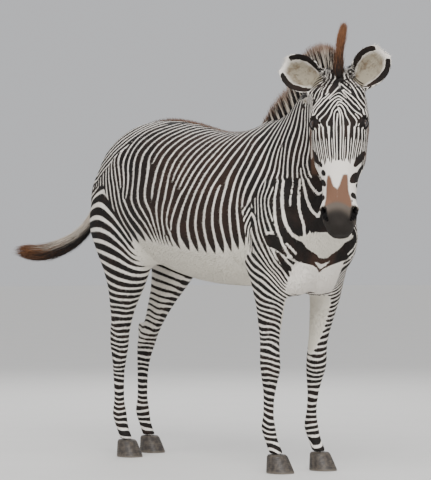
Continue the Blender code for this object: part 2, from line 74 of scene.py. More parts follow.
def lineAt(values, places):
    # second number of a line's places, where the first one has these values
    return np.interp(values, *metres(places).T)


def toBody(points):
    moved = points - bodyOrigin
    return np.stack([-moved[:, 1], moved[:, 0], moved[:, 2]], axis=1)


def fromBody(points):
    points = np.asarray(points, float)
    return np.stack([points[:, 1], -points[:, 0], points[:, 2]], axis=1) + bodyOrigin


def curveThrough(places, count):
    # a smooth curve through the places, as many rows as asked
    places = np.asarray(places, float)
    wanted = np.linspace(0, len(places) - 1, count)
    padded = np.vstack([2 * places[0] - places[1], places, 2 * places[-1] - places[-2]])
    index = np.minimum(wanted.astype(int), len(places) - 2)
    share = (wanted - index)[:, None]
    first, second, third, fourth = (padded[index + k] for k in range(4))
    cubic = 3 * (second - third) + fourth - first
    square = 2 * first - 5 * second + 4 * third - fourth
    return second + 0.5 * share * (third - first + share * (square + share * cubic))


bend = curveThrough(metres(neckLine[1:]), 50)
bendAlong = bend[0, 0] + np.cumsum(np.linalg.norm(np.diff(bend, axis=0, prepend=bend[:1]), axis=1))
bendSteps = unit(np.gradient(bend, axis=0))


def unbend(body):
    # distance along the middle line, distance to its left, and height; low down the chest isn't turned
    made = body.copy()
    for start in range(0, len(body), batch):
        part = body[start:start + batch]
        offset = part[:, None, :2] - bend[None]
        gap = (offset ** 2).sum(axis=2)
        near = np.exp(-(gap - gap.min(axis=1, keepdims=True)) / 0.004)
        near /= near.sum(axis=1, keepdims=True)
        along = bendAlong[None] + (offset * bendSteps).sum(axis=2)
        left = offset[:, :, 1] * bendSteps[None, :, 0] - offset[:, :, 0] * bendSteps[None, :, 1]
        turned = np.stack([(along * near).sum(axis=1), (left * near).sum(axis=1)], axis=1)
        high = (smoothStep(part[:, 2], 0.90, 1.12) * smoothStep(part[:, 0], 0.40, 0.50))[:, None]
        made[start:start + batch, :2] = part[:, :2] * (1 - high) + turned * high
    return made


def mirrored(points):
    # body places with both sides laid on one another
    flat = unbend(toBody(points))
    flat[:, 1] = np.abs(flat[:, 1])
    return flat


# Axes of the head: down the face, out of the forehead and to the head's left, in degrees from the body's
headPose = {"turn": 43.0, "pitch": 74.0, "roll": 2.5, "poll": (0.985, -0.170, 1.585)}


def headAxes():
    turn, pitch, roll = (math.radians(headPose[key]) for key in ("turn", "pitch", "roll"))
    ahead = Vector((-math.sin(turn), -math.cos(turn), 0))
    down = ahead * math.cos(pitch) - Vector((0, 0, math.sin(pitch)))
    level = Vector((math.cos(turn), -math.sin(turn), 0))
    left = (level * math.cos(roll) + down.cross(level) * math.sin(roll)).normalized()
    out = down.cross(left).normalized()
    return np.array([down, out, left])


headFrame = headAxes()
poll = fromBody([headPose["poll"]])[0]


def toHead(points):
    return (points - poll) @ headFrame.T


def fromHead(points):
    return np.asarray(points, float) @ headFrame + poll


view = {
    "lens": 175.5,
    "sensor": 36,
    "far": 60,
    "place": (-6.3637, -7.5683, 0.9),
    "along": (0.643, 0.766, 0.00428),
}
# Each lamp's place, size and power
lamps = {
    "key": ((-3.4, -4.2, 5.2), 3.2, 300),
    "fill": ((-6.5, -1.0, 2.6), 3.5, 90),
    "front": ((1.5, -6.5, 2.4), 3.0, 80),
    "back": ((3.0, 4.0, 4.5), 4.0, 180),
}
sky = {"power": 1.35, "width": 70, "lean": (28, -24, 0), "colour": (0.96, 0.97, 1.0, 1), "glow": 0.62}


def placed(name, data, place=(0, 0, 0)):
    # a new object in the scene
    holder = bpy.data.objects.new(name, data)
    scene.collection.objects.link(holder)
    holder.location = place
    return holder


def aimed(holder, along):
    holder.rotation_mode = "QUATERNION"
    holder.rotation_quaternion = along.to_track_quat("-Z", "Y")


def makeCamera():
    camera = placed("camera", bpy.data.cameras.new("camera"), view["place"])
    aimed(camera, Vector(view["along"]))
    camera.data.lens = view["lens"]
    camera.data.sensor_width = view["sensor"]
    camera.data.clip_end = view["far"]
    scene.camera = camera


def makeLights():
    middle = Vector((0, 0, 0.8))
    for name, (place, size, power) in lamps.items():
        lamp = bpy.data.lights.new(name, "AREA")
        lamp.energy = power
        lamp.size = size
        aimed(placed(name, lamp, place), middle - Vector(place))
    lamp = bpy.data.lights.new("sky", "SUN")
    lamp.energy = sky["power"]
    lamp.angle = math.radians(sky["width"])
    placed("sky", lamp).rotation_euler = [math.radians(angle) for angle in sky["lean"]]
    world = bpy.data.worlds.new("studio")
    world.use_nodes = True
    background = world.node_tree.nodes["Background"]
    background.inputs["Color"].default_value = sky["colour"]
    background.inputs["Strength"].default_value = sky["glow"]
    scene.world = world


class Wire:
    # wraps a socket, so that shader maths reads as arithmetic
    def __init__(self, tree, socket):
        self.tree = tree
        self.socket = socket

    def node(self, kind, settings=None, inputs=None, output=0):
        made = self.tree.nodes.new(kind)
        for name, value in (settings or {}).items():
            setattr(made, name, value)
        for name, value in (inputs or {}).items():
            if isinstance(value, Wire):
                self.tree.links.new(value.socket, made.inputs[name])
            else:
                made.inputs[name].default_value = value
        return Wire(self.tree, made.outputs[output])

    def maths(self, operation, *values):
        return self.node("ShaderNodeMath", {"operation": operation}, dict(enumerate(values)))

    def __add__(self, other):
        return self.maths("ADD", self, other)

    def __radd__(self, other):
        return self.maths("ADD", other, self)

    def __sub__(self, other):
        return self.maths("SUBTRACT", self, other)

    def __rsub__(self, other):
        return self.maths("SUBTRACT", other, self)

    def __mul__(self, other):
        return self.maths("MULTIPLY", self, other)

    def __rmul__(self, other):
        return self.maths("MULTIPLY", other, self)

    def __truediv__(self, other):
        return self.maths("DIVIDE", self, other)

    def __pow__(self, other):
        return self.maths("POWER", self, other)

    def clamp(self):
        return self.node("ShaderNodeClamp", None, {"Value": self})

    def cosine(self):
        return self.maths("COSINE", self)

    def sine(self):
        return self.maths("SINE", self)

    def ramp(self, low, high):
        settings = {"interpolation_type": "SMOOTHSTEP"}
        return self.node("ShaderNodeMapRange", settings, {"Value": self, "From Min": low, "From Max": high})

    def mix(self, first, second):
        # self is the share of the second colour
        settings = {"data_type": "RGBA"}
        return self.node("ShaderNodeMix", settings, {0: self, 6: first, 7: second}, 2)

    def split(self):
        made = self.node("ShaderNodeSeparateXYZ", None, {0: self})
        return [Wire(self.tree, socket) for socket in made.socket.node.outputs]


def newMaterial(name):
    # the material, a wire to start from and the shader
    material = bpy.data.materials.new(name)
    material.use_nodes = True
    tree = material.node_tree
    return material, Wire(tree, None), tree.nodes["Principled BSDF"]


def feed(wire, shader, name):
    wire.tree.links.new(wire.socket, shader.inputs[name])


def objectPlace(start):
    return start.node("ShaderNodeTexCoord", None, None, "Object")


def attribute(start, name):
    return start.node("ShaderNodeAttribute", {"attribute_name": name}, None, "Vector")


def noiseWire(start, place, scale, detail=2.0, roughness=0.5):
    values = {"Vector": place, "Scale": scale, "Detail": detail, "Roughness": roughness}
    return start.node("ShaderNodeTexNoise", None, values)


def bumpWire(start, height, strength, distance):
    values = {"Height": height, "Strength": strength, "Distance": distance}
    return start.node("ShaderNodeBump", None, values)


def addPiece(name, mesh, material, slotName, *replaced):
    piece = placed(name, mesh)
    mesh.materials.clear()
    mesh.materials.append(material)
    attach(piece, "root")
    if replaced:
        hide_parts(*replaced)
    return piece


def meshOf(bm, name):
    # the bmesh as a mesh, and the bmesh freed
    mesh = bpy.data.meshes.new(name)
    bm.to_mesh(mesh)
    bm.free()
    return mesh


def applied(piece):
    # the piece's mesh with its modifiers applied, and the object removed
    graph = bpy.context.evaluated_depsgraph_get()
    mesh = bpy.data.meshes.new_from_object(piece.evaluated_get(graph))
    bpy.data.objects.remove(piece)
    return mesh


def readRows(source, key, width=3, kind=float):
    # one attribute of all of a mesh's parts, as rows
    values = np.empty(len(source) * width, kind)
    source.foreach_get(key, values)
    return values.reshape(-1, width)


def readPoints(mesh):
    return readRows(mesh.vertices, "co")


def readNormals(mesh):
    return readRows(mesh.vertex_normals, "vector")


def triangles(mesh):
    mesh.calc_loop_triangles()
    return readRows(mesh.loop_triangles, "vertices", 3, int)


makeCamera()
makeLights()
print("camera and light ready")

# One skin takes the place of the flesh and the ears
skinPlan = {
    "voxel": 0.0048,
    "bodyPasses": 34,
    "headPasses": 10,
    "keptFaces": 0.115,
    "coatDepth": 0.0015,
    "longEdge": 0.0260,
    "throatEdge": 0.0130,
    "shortEdge": 0.0120,
    "flesh": ["head", "neck", "trunk", "tail"],
}
for end in ("fore", "hind"):
    for side in ("left", "right"):
        skinPlan["flesh"] += [f"{end}leg_{side}_upper", f"{end}leg_{side}_lower"]
skinPlan["flesh"] += ["ear_left", "ear_right"]

# The eye: its centre in the head's axes, the radius of its ball and of the flesh, lids and skin around it,
# and the half-length and the upper and lower height of the lids' opening
eyePlan = {
    "centre": np.array((0.195, -0.036, 0.087)),
    "ball": 0.0243,
    "flesh": 0.0262,
    "lidRadius": 0.0265,
    "skin": 0.0268,
    "under": 0.0185,
    "long": 0.0205,
    "upper": 0.0130,
    "lower": 0.0105,
}


def weldedNode(name):
    # a bmesh of a node with its doubled points joined
    welded = bmesh.new()
    welded.from_mesh(nodes[name].data)
    bmesh.ops.remove_doubles(welded, verts=welded.verts, dist=1e-5)
    return welded


def eyeMiddle(side):
    return fromHead([eyePlan["centre"] * (1, 1, side)])[0]


def joinedFlesh():
    whole = bmesh.new()
    for name in skinPlan["flesh"]:
        mesh = meshOf(weldedNode(name), "part")
        whole.from_mesh(mesh)
        bpy.data.meshes.remove(mesh)
    for side in (1, -1):
        centre = Matrix.Translation(eyeMiddle(side))
        bmesh.ops.create_icosphere(whole, subdivisions=4, radius=eyePlan["flesh"], matrix=centre)
    return meshOf(whole, "flesh")


def setGroup(piece, name, weights):
    group = piece.vertex_groups.new(name=name)
    steps = np.round(weights * 10).astype(int)
    for step in np.unique(steps):
        if step:
            group.add(np.nonzero(steps == step)[0].tolist(), float(step) / 10, "REPLACE")


def headShare(points):
    # 1 on the head and ears, 0 on the body behind the jaw, for the shape
    head = toHead(points)
    behind = head[:, 1] + 0.30 - 0.35 * smoothStep(head[:, 0], 0.30, 0.0)
    near = smoothStep(behind, 0.0, 0.05) * smoothStep(head[:, 0], -0.30, -0.20)
    reach = np.where(head[:, 0] < 0.06, 0.34, 0.24)
    return near * smoothStep(np.abs(head[:, 2]), reach + 0.02, reach - 0.02) * (head[:, 0] < 0.75)


def remeshedSkin():
    # one smooth closed skin, with fewer faces on the body than on the head
    piece = placed("whole", joinedFlesh())
    remesh = piece.modifiers.new("remesh", "REMESH")
    remesh.mode = "VOXEL"
    remesh.voxel_size = skinPlan["voxel"]
    mesh = applied(piece)
    piece = placed("whole", mesh)
    share = headShare(readPoints(mesh))
    setGroup(piece, "body", 1 - share)
    setGroup(piece, "all", np.ones(len(share)))
    for group, passes in (("all", skinPlan["headPasses"]), ("body", skinPlan["bodyPasses"])):
        smooth = piece.modifiers.new("smooth", "SMOOTH")
        smooth.factor = 0.5
        smooth.iterations = passes
        smooth.vertex_group = group
    fewer = piece.modifiers.new("fewer", "DECIMATE")
    fewer.ratio = skinPlan["keptFaces"]
    fewer.vertex_group = "body"
    mesh = applied(piece)
    mesh.shade_smooth()
    return mesh


# Places made finer, in metres: down, out, aside, radius, how many times
fineSpots = ((0.195, -0.036, 0.100, 0.036, 2), (0.560, -0.050, 0.060, 0.028, 2),
             (0.590, -0.110, 0.030, 0.040, 1), (0.055, -0.010, 0.030, 0.062, 1),
             (0.120, 0.000, 0.050, 0.070, 1), (0.190, -0.010, 0.035, 0.050, 1))
# Ends of white lines on the barrel: forward, up
fineEnds = ((-80, 1265), (-40, 1100), (80, 1180), (127, 1150), (71, 985), (357, 1172), (-232, 1120),
            (-278, 1160), (60, 1225))
# Swellings and hollows of the face: down, out, aside, radius, height
faceBrushes = (
    (172, -12, 92, 20, 4.5), (120, -22, 88, 30, -5), (235, -60, 105, 24, 4), (275, -70, 104, 22, 3.5),
    (310, -78, 98, 20, 3), (345, -84, 88, 18, 2), (300, -30, 72, 28, -4.5), (360, -40, 62, 26, -4),
    (420, -60, 62, 26, -3), (240, -16, 56, 20, 2), (215, -74, 108, 16, -2.5), (170, -160, 106, 50, 4),
    (290, -150, 90, 30, -3.5), (548, -40, 66, 17, 5.5), (565, -60, 70, 14, 3.5), (500, -50, 60, 22, -3.5),
    (578, -52, 0, 16, -3), (605, -95, 28, 20, 3), (600, -100, 0, 10, -2), (590, -165, 0, 24, 4),
    (540, -100, 66, 20, 2.5),
)
# Swellings and hollows of the body: forward, aside, up, radius, height
bodyBrushes = (
    (520, 190, 1160, 75, 6), (400, 230, 1020, 70, 7), (440, 210, 910, 40, -6), (620, 150, 1170, 50, -8),
    (300, 220, 1300, 60, -5), (450, 120, 1360, 50, 4), (-330, 240, 1300, 45, 8), (-220, 270, 1200, 70, -8),
    (-270, 220, 940, 50, -6), (-460, 200, 1060, 60, 6), (-380, 220, 980, 35, -4), (-530, 140, 900, 40, -4),
    (-560, 90, 1220, 40, 4), (560, 170, 800, 35, 4), (600, 70, 930, 50, 6), (640, 0, 900, 30, -8),
    (550, 120, 660, 30, 3), (700, 20, 1100, 30, -6),
)


def cutEdges(bm, edges):
    bmesh.ops.subdivide_edges(bm, edges=edges, cuts=1, use_grid_fill=True)
    bmesh.ops.triangulate(bm, faces=[f for f in bm.faces if len(f.verts) > 3])


def madeFiner(mesh):
    bm = bmesh.new()
    bm.from_mesh(mesh)
    for down, out, aside, radius, times in fineSpots:
        for side in (1, -1):
            centre = Vector(fromHead([(down, out, aside * side)])[0])
            for step in range(times):
                reach = radius / (1 + 0.25 * step)
                cutEdges(bm, [e for e in bm.edges if (e.verts[0].co - centre).length < reach])
    # long edges are cut on the barrel, and shorter ones on the throat and round the ends of the white lines
    for step in range(2):
        edges = [e for e in bm.edges if e.calc_length() > skinPlan["shortEdge"]]
        middles = toBody(np.array([(e.verts[0].co + e.verts[1].co) / 2 for e in edges]))
        longest = np.full(len(edges), skinPlan["longEdge"])
        along, aside, height = middles.T
        throat = (along > 0.62) & (along < 0.80) & (height > 0.83) & (height < 1.21)
        longest[throat] = skinPlan["throatEdge"]
        for forward, up in metres(fineEnds):
            longest[np.hypot(along - forward, height - up) < 0.040] = skinPlan["shortEdge"]
        cutEdges(bm, [e for e, most in zip(edges, longest) if e.calc_length() > most])
    bm.to_mesh(mesh)
    bm.free()


def eyeFrame(side):
    # the eye's axis, its long direction and its height
    down, out, left = headFrame
    axis = unit(0.58 * out + 0.80 * side * left + 0.04 * down)
    long = unit(np.cross(np.cross(axis, 0.95 * down - 0.30 * out), axis))
    return axis, long, unit(np.cross(axis, long) * side)


def openingGap(direction, side):
    # distance inside the eye's opening, below 0 on the lids; and the height above the corners' line
    axis, long, rise = eyeFrame(side)
    across = direction @ long * eyePlan["lidRadius"]
    height = direction @ rise * eyePlan["lidRadius"]
    room = np.where(height > 0, eyePlan["upper"], eyePlan["lower"]) * (1 - (across / eyePlan["long"]) ** 2)
    return room - np.abs(height), height


def shapedEyes(points):
    # the lids drawn over each eye, and the skin inside the opening laid under the ball
    for side in (1, -1):
        centre = eyeMiddle(side)
        axis = eyeFrame(side)[0]
        offset = points - centre
        radius = np.linalg.norm(offset, axis=1)
        near = np.nonzero((radius < 0.036) & (offset @ axis > 0))[0]
        direction = offset[near] / radius[near][:, None]
        gap, height = openingGap(direction, side)
        facing = smoothStep(direction @ axis, 0.25, 0.50)
        inside = smoothStep(gap, -0.0010, 0.0014) * facing
        # the lids' rims, and the folds above and below them
        lid = eyePlan["skin"] + 0.0016 * bell(gap + 0.0022, 0.0020)
        lid = lid - 0.0022 * bell(gap + 0.0075, 0.0020) * (height > 0)
        lid = lid - 0.0012 * bell(gap + 0.006, 0.0016) * (height < 0)
        outer = radius[near] + (lid - radius[near]) * facing * smoothStep(gap, -0.016, -0.007)
        made = outer * (1 - inside) + eyePlan["under"] * inside
        points[near] = centre + direction * made[:, None]
    return points


# Nostril, in metres: down, aside and radius of the circles along its comma
nostrilCircles = ((0.536, 0.0600, 0.0080), (0.545, 0.0600, 0.0102), (0.555, 0.0585, 0.0106),
                  (0.564, 0.0550, 0.0092), (0.572, 0.0500, 0.0068), (0.579, 0.0450, 0.0042))


def nostrilGap(head):
    gap = np.full(len(head), -1.0)
    for down, aside, radius in nostrilCircles:
        gap = np.maximum(gap, radius - np.hypot(head[:, 0] - down, np.abs(head[:, 2]) - aside))
    return np.where((head[:, 1] > -0.115) & (head[:, 1] < 0), gap, -1.0)


def lipGap(head):
    # distance above the line of the mouth, and how far it is open to view
    level = lineAt(head[:, 0], ((500, -142), (550, -137), (600, -128), (640, -121)))
    return head[:, 1] - level, smoothStep(head[:, 0], 0.508, 0.530)


def sculpted(mesh):
    # the swellings, mouth, nostrils and eyes put into the skin, and the coat's depth taken off
    points = readPoints(mesh)
    normals = readNormals(mesh)
    head = toHead(points)
    share = headShare(points)
    height = np.zeros(len(points))
    folded = head.copy()
    folded[:, 2] = np.abs(head[:, 2])
    for *place, radius, rise in metres(faceBrushes):
        height += rise * bell(np.linalg.norm(folded - place, axis=1), radius) * share
    flat = mirrored(points)
    for *place, radius, rise in metres(bodyBrushes):
        height += rise * bell(np.linalg.norm(flat - place, axis=1), radius) * (1 - share)
    gap, seen = lipGap(head)
    # the groove between the lips, and their swelling above and below it
    groove = 0.0042 * bell(gap, 0.0022)
    groove = groove - 0.0012 * bell(gap - 0.007, 0.005) - 0.0008 * bell(gap + 0.007, 0.005)
    height -= groove * seen * share
    points = points + normals * (height - skinPlan["coatDepth"] * (1 - 0.6 * share))[:, None]
    gap = nostrilGap(head)
    sideways = np.sign(head[:, 2])[:, None] * headFrame[2]
    inward = unit(-0.85 * headFrame[1] - 0.35 * headFrame[0] - 0.45 * sideways)
    hole = smoothStep(gap, -0.0016, 0.0050)
    rim = 0.0020 * bell(gap + 0.0040, 0.0030) * (gap > -0.02)
    points = points + inward * (hole * 0.013)[:, None] + normals * rim[:, None]
    points = shapedEyes(points)
    mesh.vertices.foreach_set("co", points.ravel())
    mesh.update()


skinMesh = remeshedSkin()
madeFiner(skinMesh)
sculpted(skinMesh)
skinMesh.shade_smooth()
print("skin joined:", len(skinMesh.vertices), "points")


# The markings are fields whose whole numbers are the white lines
skinTree = BVHTree.FromPolygons(readPoints(skinMesh).tolist(), triangles(skinMesh).tolist())


def onSide(forward, up):
    # the place on the right side of the skin at this distance forward and height
    middle = lineAt(forward, neckLine)
    inside = forward > 0.72
    start = fromBody([(forward, middle if inside else -1.0, up)])[0]
    hit = skinTree.ray_cast(Vector(start), Vector((-1, 0, 0)) if inside else Vector((1, 0, 0)))[0]
    return np.array(hit) if hit else fromBody([(forward, -0.15, up)])[0]


def stretch(first, second, soft):
    gaps = np.linalg.norm(first[:, None] - second[None], axis=2)
    return np.sqrt(gaps * gaps + soft * soft)


def smoothField(sites, values, soft=0.05, looseness=2e-4):
    # a smooth field through values given at a few sites
    sites = np.asarray(sites, float)
    values = np.asarray(values, float)
    count = len(sites)
    plain = np.hstack([np.ones((count, 1)), sites])
    system = np.zeros((count + plain.shape[1], count + plain.shape[1]))
    system[:count, :count] = stretch(sites, sites, soft) - looseness * count * np.eye(count)
    system[:count, count:] = plain
    system[count:, :count] = plain.T
    system[count:, count:] = -1e-9 * np.eye(plain.shape[1])
    answer = np.linalg.solve(system, np.concatenate([values, np.zeros(plain.shape[1])]))

    def field(points):
        made = np.empty(len(points))
        for start in range(0, len(points), batch):
            part = points[start:start + batch]
            flat = np.hstack([np.ones((len(part), 1)), part])
            made[start:start + batch] = stretch(part, sites, soft) @ answer[:count] + flat @ answer[count:]
        return made

    return field


def forkTurn(flat, forks):
    # angle that the forks add to the waves: one more white line above each, or below where its sign is -1
    turn = np.zeros(len(flat))
    for forward, up, sign in forks:
        turn += sign * np.arctan2(flat[:, 2] - up, flat[:, 0] - forward)
    return turn


def placedForks(forks):
    # forks given as (forward, up) moved to distance along the body's middle line
    made = []
    for forward, up, sign in forks:
        place = mirrored(onSide(forward / 1000, up / 1000)[None])[0]
        made.append((place[0], place[2], sign))
    return made


def sideField(lines, forks=(), soft=0.05, looseness=2e-4):
    sites, values = [], []
    for number, places in lines.items():
        for forward, up in places:
            site = mirrored(onSide(forward, up)[None])
            passed = sum(sign for x, z, sign in forks if up < z and site[0, 0] < x)
            sites.append(site[0])
            values.append(number + passed + forkTurn(site, forks)[0] / fullTurn)
    return smoothField(sites, values, soft, looseness)


# White lines from rump to jaw: the number each has along the back, then (forward, up) along it
hoopLines = {
    -10: ((-395, 1185), (-402, 1225)),
    -9: ((-350, 1155), (-375, 1185), (-380, 1210), (-388, 1240)),
    -8: ((-315, 1160), (-325, 1185), (-345, 1215), (-365, 1245), (-375, 1270)),
    -7: ((-303, 1148), (-300, 1175), (-312, 1200), (-325, 1235), (-340, 1265), (-350, 1290)),
    -6: ((-268, 1155), (-285, 1210), (-297, 1240), (-312, 1270), (-322, 1300), (-322, 1320)),
    -5: ((-233, 1120), (-252, 1155), (-264, 1220), (-275, 1257), (-282, 1290), (-281, 1315), (-271, 1342),
         (-255, 1370), (-243, 1398), (-213, 1418), (-155, 1437)),
    -4: ((-110, 930), (-132, 1000), (-180, 1100), (-226, 1185), (-235, 1230), (-247, 1285), (-240, 1332),
         (-225, 1362), (-202, 1390), (-170, 1413), (-130, 1432)),
    -3: ((-80, 930), (-98, 1000), (-130, 1100), (-184, 1200), (-205, 1300), (-135, 1405)),
    -2: ((-60, 930), (-79, 1000), (-104, 1100), (-137, 1200), (-155, 1300), (-85, 1405)),
    -1: ((-40, 930), (-58, 1000), (-77, 1100), (-86, 1200), (-102, 1300), (-30, 1400)),
    0: ((-68, 1300), (-30, 1370)),
    1: ((-37, 1130), (-27, 1200), (-27, 1300), (20, 1395)),
    2: ((-18, 930), (-13, 1000), (-7, 1100), (12, 1200), (25, 1300), (65, 1385)),
    3: ((30, 930), (36, 1000), (48, 1100), (55, 1200), (68, 1300), (110, 1380)),
    5: ((72, 1010), (85, 1100), (114, 1200), (147, 1300)),
    7: ((98, 930), (102, 1000), (127, 1100), (180, 1200), (230, 1300), (275, 1375)),
    8: ((140, 930), (140, 1000), (170, 1100), (220, 1200), (267, 1300)),
    9: ((180, 930), (178, 1000), (207, 1100), (252, 1200), (297, 1300)),
    10: ((224, 930), (218, 1000), (243, 1100), (287, 1200), (335, 1300), (375, 1370)),
    11: ((270, 930), (265, 1000), (290, 1100), (337, 1200), (387, 1300)),
    12: ((368, 930), (362, 1000), (363, 1100), (388, 1200), (430, 1300)),
    13: ((415, 930), (408, 1000), (407, 1100), (430, 1200), (468, 1300), (500, 1380)),
    14: ((465, 930), (460, 1000), (452, 1100), (472, 1200), (512, 1300), (565, 1390)),
    15: ((502, 950), (500, 990), (487, 1030), (482, 1080), (510, 1200), (540, 1300), (602, 1390)),
    16: ((497, 1075), (508, 1100), (530, 1150), (546, 1200), (572, 1300), (640, 1395)),
    17: ((665, 820), (668, 845), (663, 892), (642, 950), (628, 1005), (607, 1080), (597, 1150), (577, 1200),
         (587, 1250), (613, 1300), (635, 1350), (655, 1377), (676, 1398)),
    18: ((690, 872), (674, 925), (652, 1000), (632, 1080), (624, 1150), (610, 1200), (624, 1250),
         (643, 1290), (655, 1312)),
    19: ((700, 920), (693, 940), (677, 1000), (657, 1080), (651, 1150), (643, 1200), (656, 1250),
         (670, 1300), (688, 1327), (700, 1352), (717, 1375), (742, 1400)),
    20: ((708, 970), (697, 1005), (683, 1040), (678, 1080), (676, 1150), (677, 1200), (688, 1250),
         (710, 1300), (728, 1327), (739, 1355), (752, 1375), (772, 1400)),
    21: ((703, 1090), (703, 1150), (718.5, 1200), (735, 1250), (758, 1300), (780, 1335), (795, 1360),
         (803, 1395), (808, 1420)),
    22: ((712, 1040), (716, 1080), (723.5, 1100), (737.5, 1150), (753, 1200), (777, 1250), (806, 1300),
         (828, 1335), (836, 1360), (840, 1395)),
    23: ((735, 1060), (745, 1100), (753, 1150), (758, 1185), (763, 1212)),
    24: ((776, 1140), (772, 1170), (778, 1200), (790, 1238), (805, 1263), (823, 1290), (836, 1315),
         (850, 1345), (865, 1380)),
    25: ((810, 1190), (818, 1230), (826, 1252), (838, 1280), (855, 1305), (875, 1340), (890, 1380)),
}
# Where a white line ends going down (1) or up (-1): forward, up, sign
hoopForks = ((-80, 1265, 1), (-40, 1100, 1), (80, 1180, 1), (127, 1150, 1), (71, 985, 1), (357, 1172, -1),
             (30, 962, -1), (-232, 1120, 1), (-278, 1160, 1), (702, 1080, 1), (660, 1315, -1),
             (583, 1170, -1), (545, 1115, -1), (515, 1085, -1), (766, 1228, -1))

# White lines of the rump and thigh, numbered downwards
thighLines = {
    -4: ((-500, 1290), (-450, 1330), (-410, 1360), (-370, 1388), (-320, 1410)),
    -3: ((-470, 1285), (-430, 1310), (-400, 1335), (-370, 1355), (-330, 1385), (-290, 1405), (-250, 1430)),
    -2: ((-490, 1250), (-430, 1280), (-390, 1305), (-362, 1322), (-340, 1340), (-315, 1360), (-290, 1385),
         (-260, 1407), (-220, 1430)),
    -1: ((-560, 1198), (-470, 1235), (-415, 1262), (-365, 1297), (-325, 1325), (-295, 1345), (-280, 1375),
         (-265, 1400), (-245, 1420), (-200, 1440)),
    0: ((-570, 1170), (-520, 1195), (-465, 1218), (-420, 1236)),
    1: ((-560, 1155), (-500, 1180), (-420, 1205)),
    2: ((-560, 1120), (-500, 1140), (-430, 1160), (-380, 1120), (-300, 1055), (-240, 960)),
    3: ((-560, 1072), (-500, 1090), (-430, 1094), (-340, 1035), (-275, 960), (-245, 890)),
    4: ((-550, 1028), (-460, 1044), (-390, 1020), (-310, 945)),
    5: ((-520, 985), (-450, 990), (-350, 958), (-290, 905)),
    6: ((-490, 942), (-380, 920), (-300, 888), (-240, 850)),
    7: ((-480, 895), (-400, 872), (-320, 848), (-260, 815)),
    8: ((-460, 850), (-385, 822), (-310, 800), (-270, 787)),
    9: ((-450, 805), (-380, 780), (-310, 762)),
    10: ((-450, 762), (-385, 738), (-340, 728)),
    12: ((-470, 700), (-400, 685), (-370, 690)),
    14: ((-475, 645), (-420, 633), (-390, 638)),
}

# White lines of the shoulder's point and the foreleg, numbered downwards
forelegLines = {
    0: ((550, 1068), (563, 1052), (585, 1036), (605, 1000), (622, 950), (643, 890), (652, 845), (655, 815),
        (645, 770)),
    1: ((552, 1035), (570, 1015), (580, 995), (590, 970), (612, 920), (627, 889), (633, 840), (640, 805),
        (640, 765)),
    2: ((558, 950), (570, 940), (585, 910), (600, 890), (620, 855), (632, 785), (640, 750)),
    3: ((565, 893), (585, 868), (600, 840), (612, 815), (625, 790)),
    4: ((530, 862), (550, 850), (565, 840), (582, 830), (593, 817)),
    5: ((527, 822), (553, 810), (592, 794), (605, 780), (622, 752)),
    6: ((528, 798), (548, 786), (570, 774), (598, 748), (610, 730)),
    7: ((515, 770), (550, 752), (575, 728), (605, 713)),
    8: ((490, 745), (545, 722), (600, 692)),
    10: ((480, 690), (545, 667), (590, 655)),
    12: ((480, 635), (540, 614), (580, 612)),
}

# White lines behind the shoulder's point, numbered forwards
backLines = {
    -1: ((517, 1077), (505, 1060), (498, 1045)),
    0: ((540, 1065), (525, 1052), (513, 1040), (503, 1023)),
    1: ((548, 1033), (533, 1015), (518, 1000), (513, 980), (512, 955)),
    2: ((552, 995), (540, 983), (533, 968), (528, 950), (524, 930)),
    3: ((562, 975), (553, 968), (546, 956), (541, 940), (538, 920)),
}
# Edges of the shoulder's point at each height: its back, the chevrons' axis and its front
pointBack = ((500, 200), (800, 420), (900, 505), (950, 506), (990, 503), (1020, 498), (1050, 498),
             (1090, 508))
pointAxis = ((885, 553), (920, 557), (960, 557), (990, 553), (1030, 551), (1080, 547))
pointFront = ((500, 900), (740, 800), (770, 665), (815, 668), (845, 664), (890, 653), (950, 633),
              (980, 624), (1000, 616), (1036, 597), (1052, 575), (1075, 553), (1090, 540))
ringGap = 0.0235  # between two white rings of the lower legs


def inMetres(lines):
    return {number: metres(places) for number, places in lines.items()}


def withRings(lines, first, height, back, front, tilt):
    # a leg's lines with the rings below a height, in metres, higher at the back by the tilt
    made = inMetres(lines)
    for step in range(0, 26, 2):
        up = height - step * ringGap
        if up > 0.05:
            made[first + step] = ((back, up + tilt / 2), (front, up - tilt / 2))
    return made


hoopTurns = placedForks(hoopForks)
hoopField = sideField(inMetres(hoopLines), hoopTurns, 0.03)
thighField = sideField(withRings(thighLines, 16, 0.590, -0.49, -0.45, 0.012))
forelegField = sideField(withRings(forelegLines, 14, 0.570, 0.49, 0.56, 0.010), (), 0.02)
backField = sideField(inMetres(backLines), (), 0.02)


def unevenness(points, scale, seed):
    # soft noise of about -1 to 1, the same each run
    return np.array([noise.noise(Vector(p)) for p in points * scale + seed])


def edgeBetween(flat, places, width):
    # 1 below a line given as (forward, up), 0 above it
    heights = lineAt(flat[:, 0], places)
    return 1 - smoothStep(flat[:, 2], heights - width, heights + width)


# Edges of the thigh's lines, of the croup's lines at their foot, and of the belly's white: forward, up
thighEdge = ((-600, 1160), (-500, 1175), (-420, 1172), (-370, 1110), (-310, 1030), (-260, 950), (-220, 860),
             (-150, 800), (0, 700), (300, 600))
croupEdge = ((-600, 1170), (-560, 1190), (-470, 1227), (-415, 1254), (-365, 1289), (-325, 1317),
             (-292, 1340), (-274, 1375), (-258, 1400), (-240, 1418), (-195, 1438), (-100, 1446))
bellyEdge = ((-400, 900), (-150, 945), (0, 925), (150, 905), (300, 890), (420, 905), (500, 930), (800, 900))


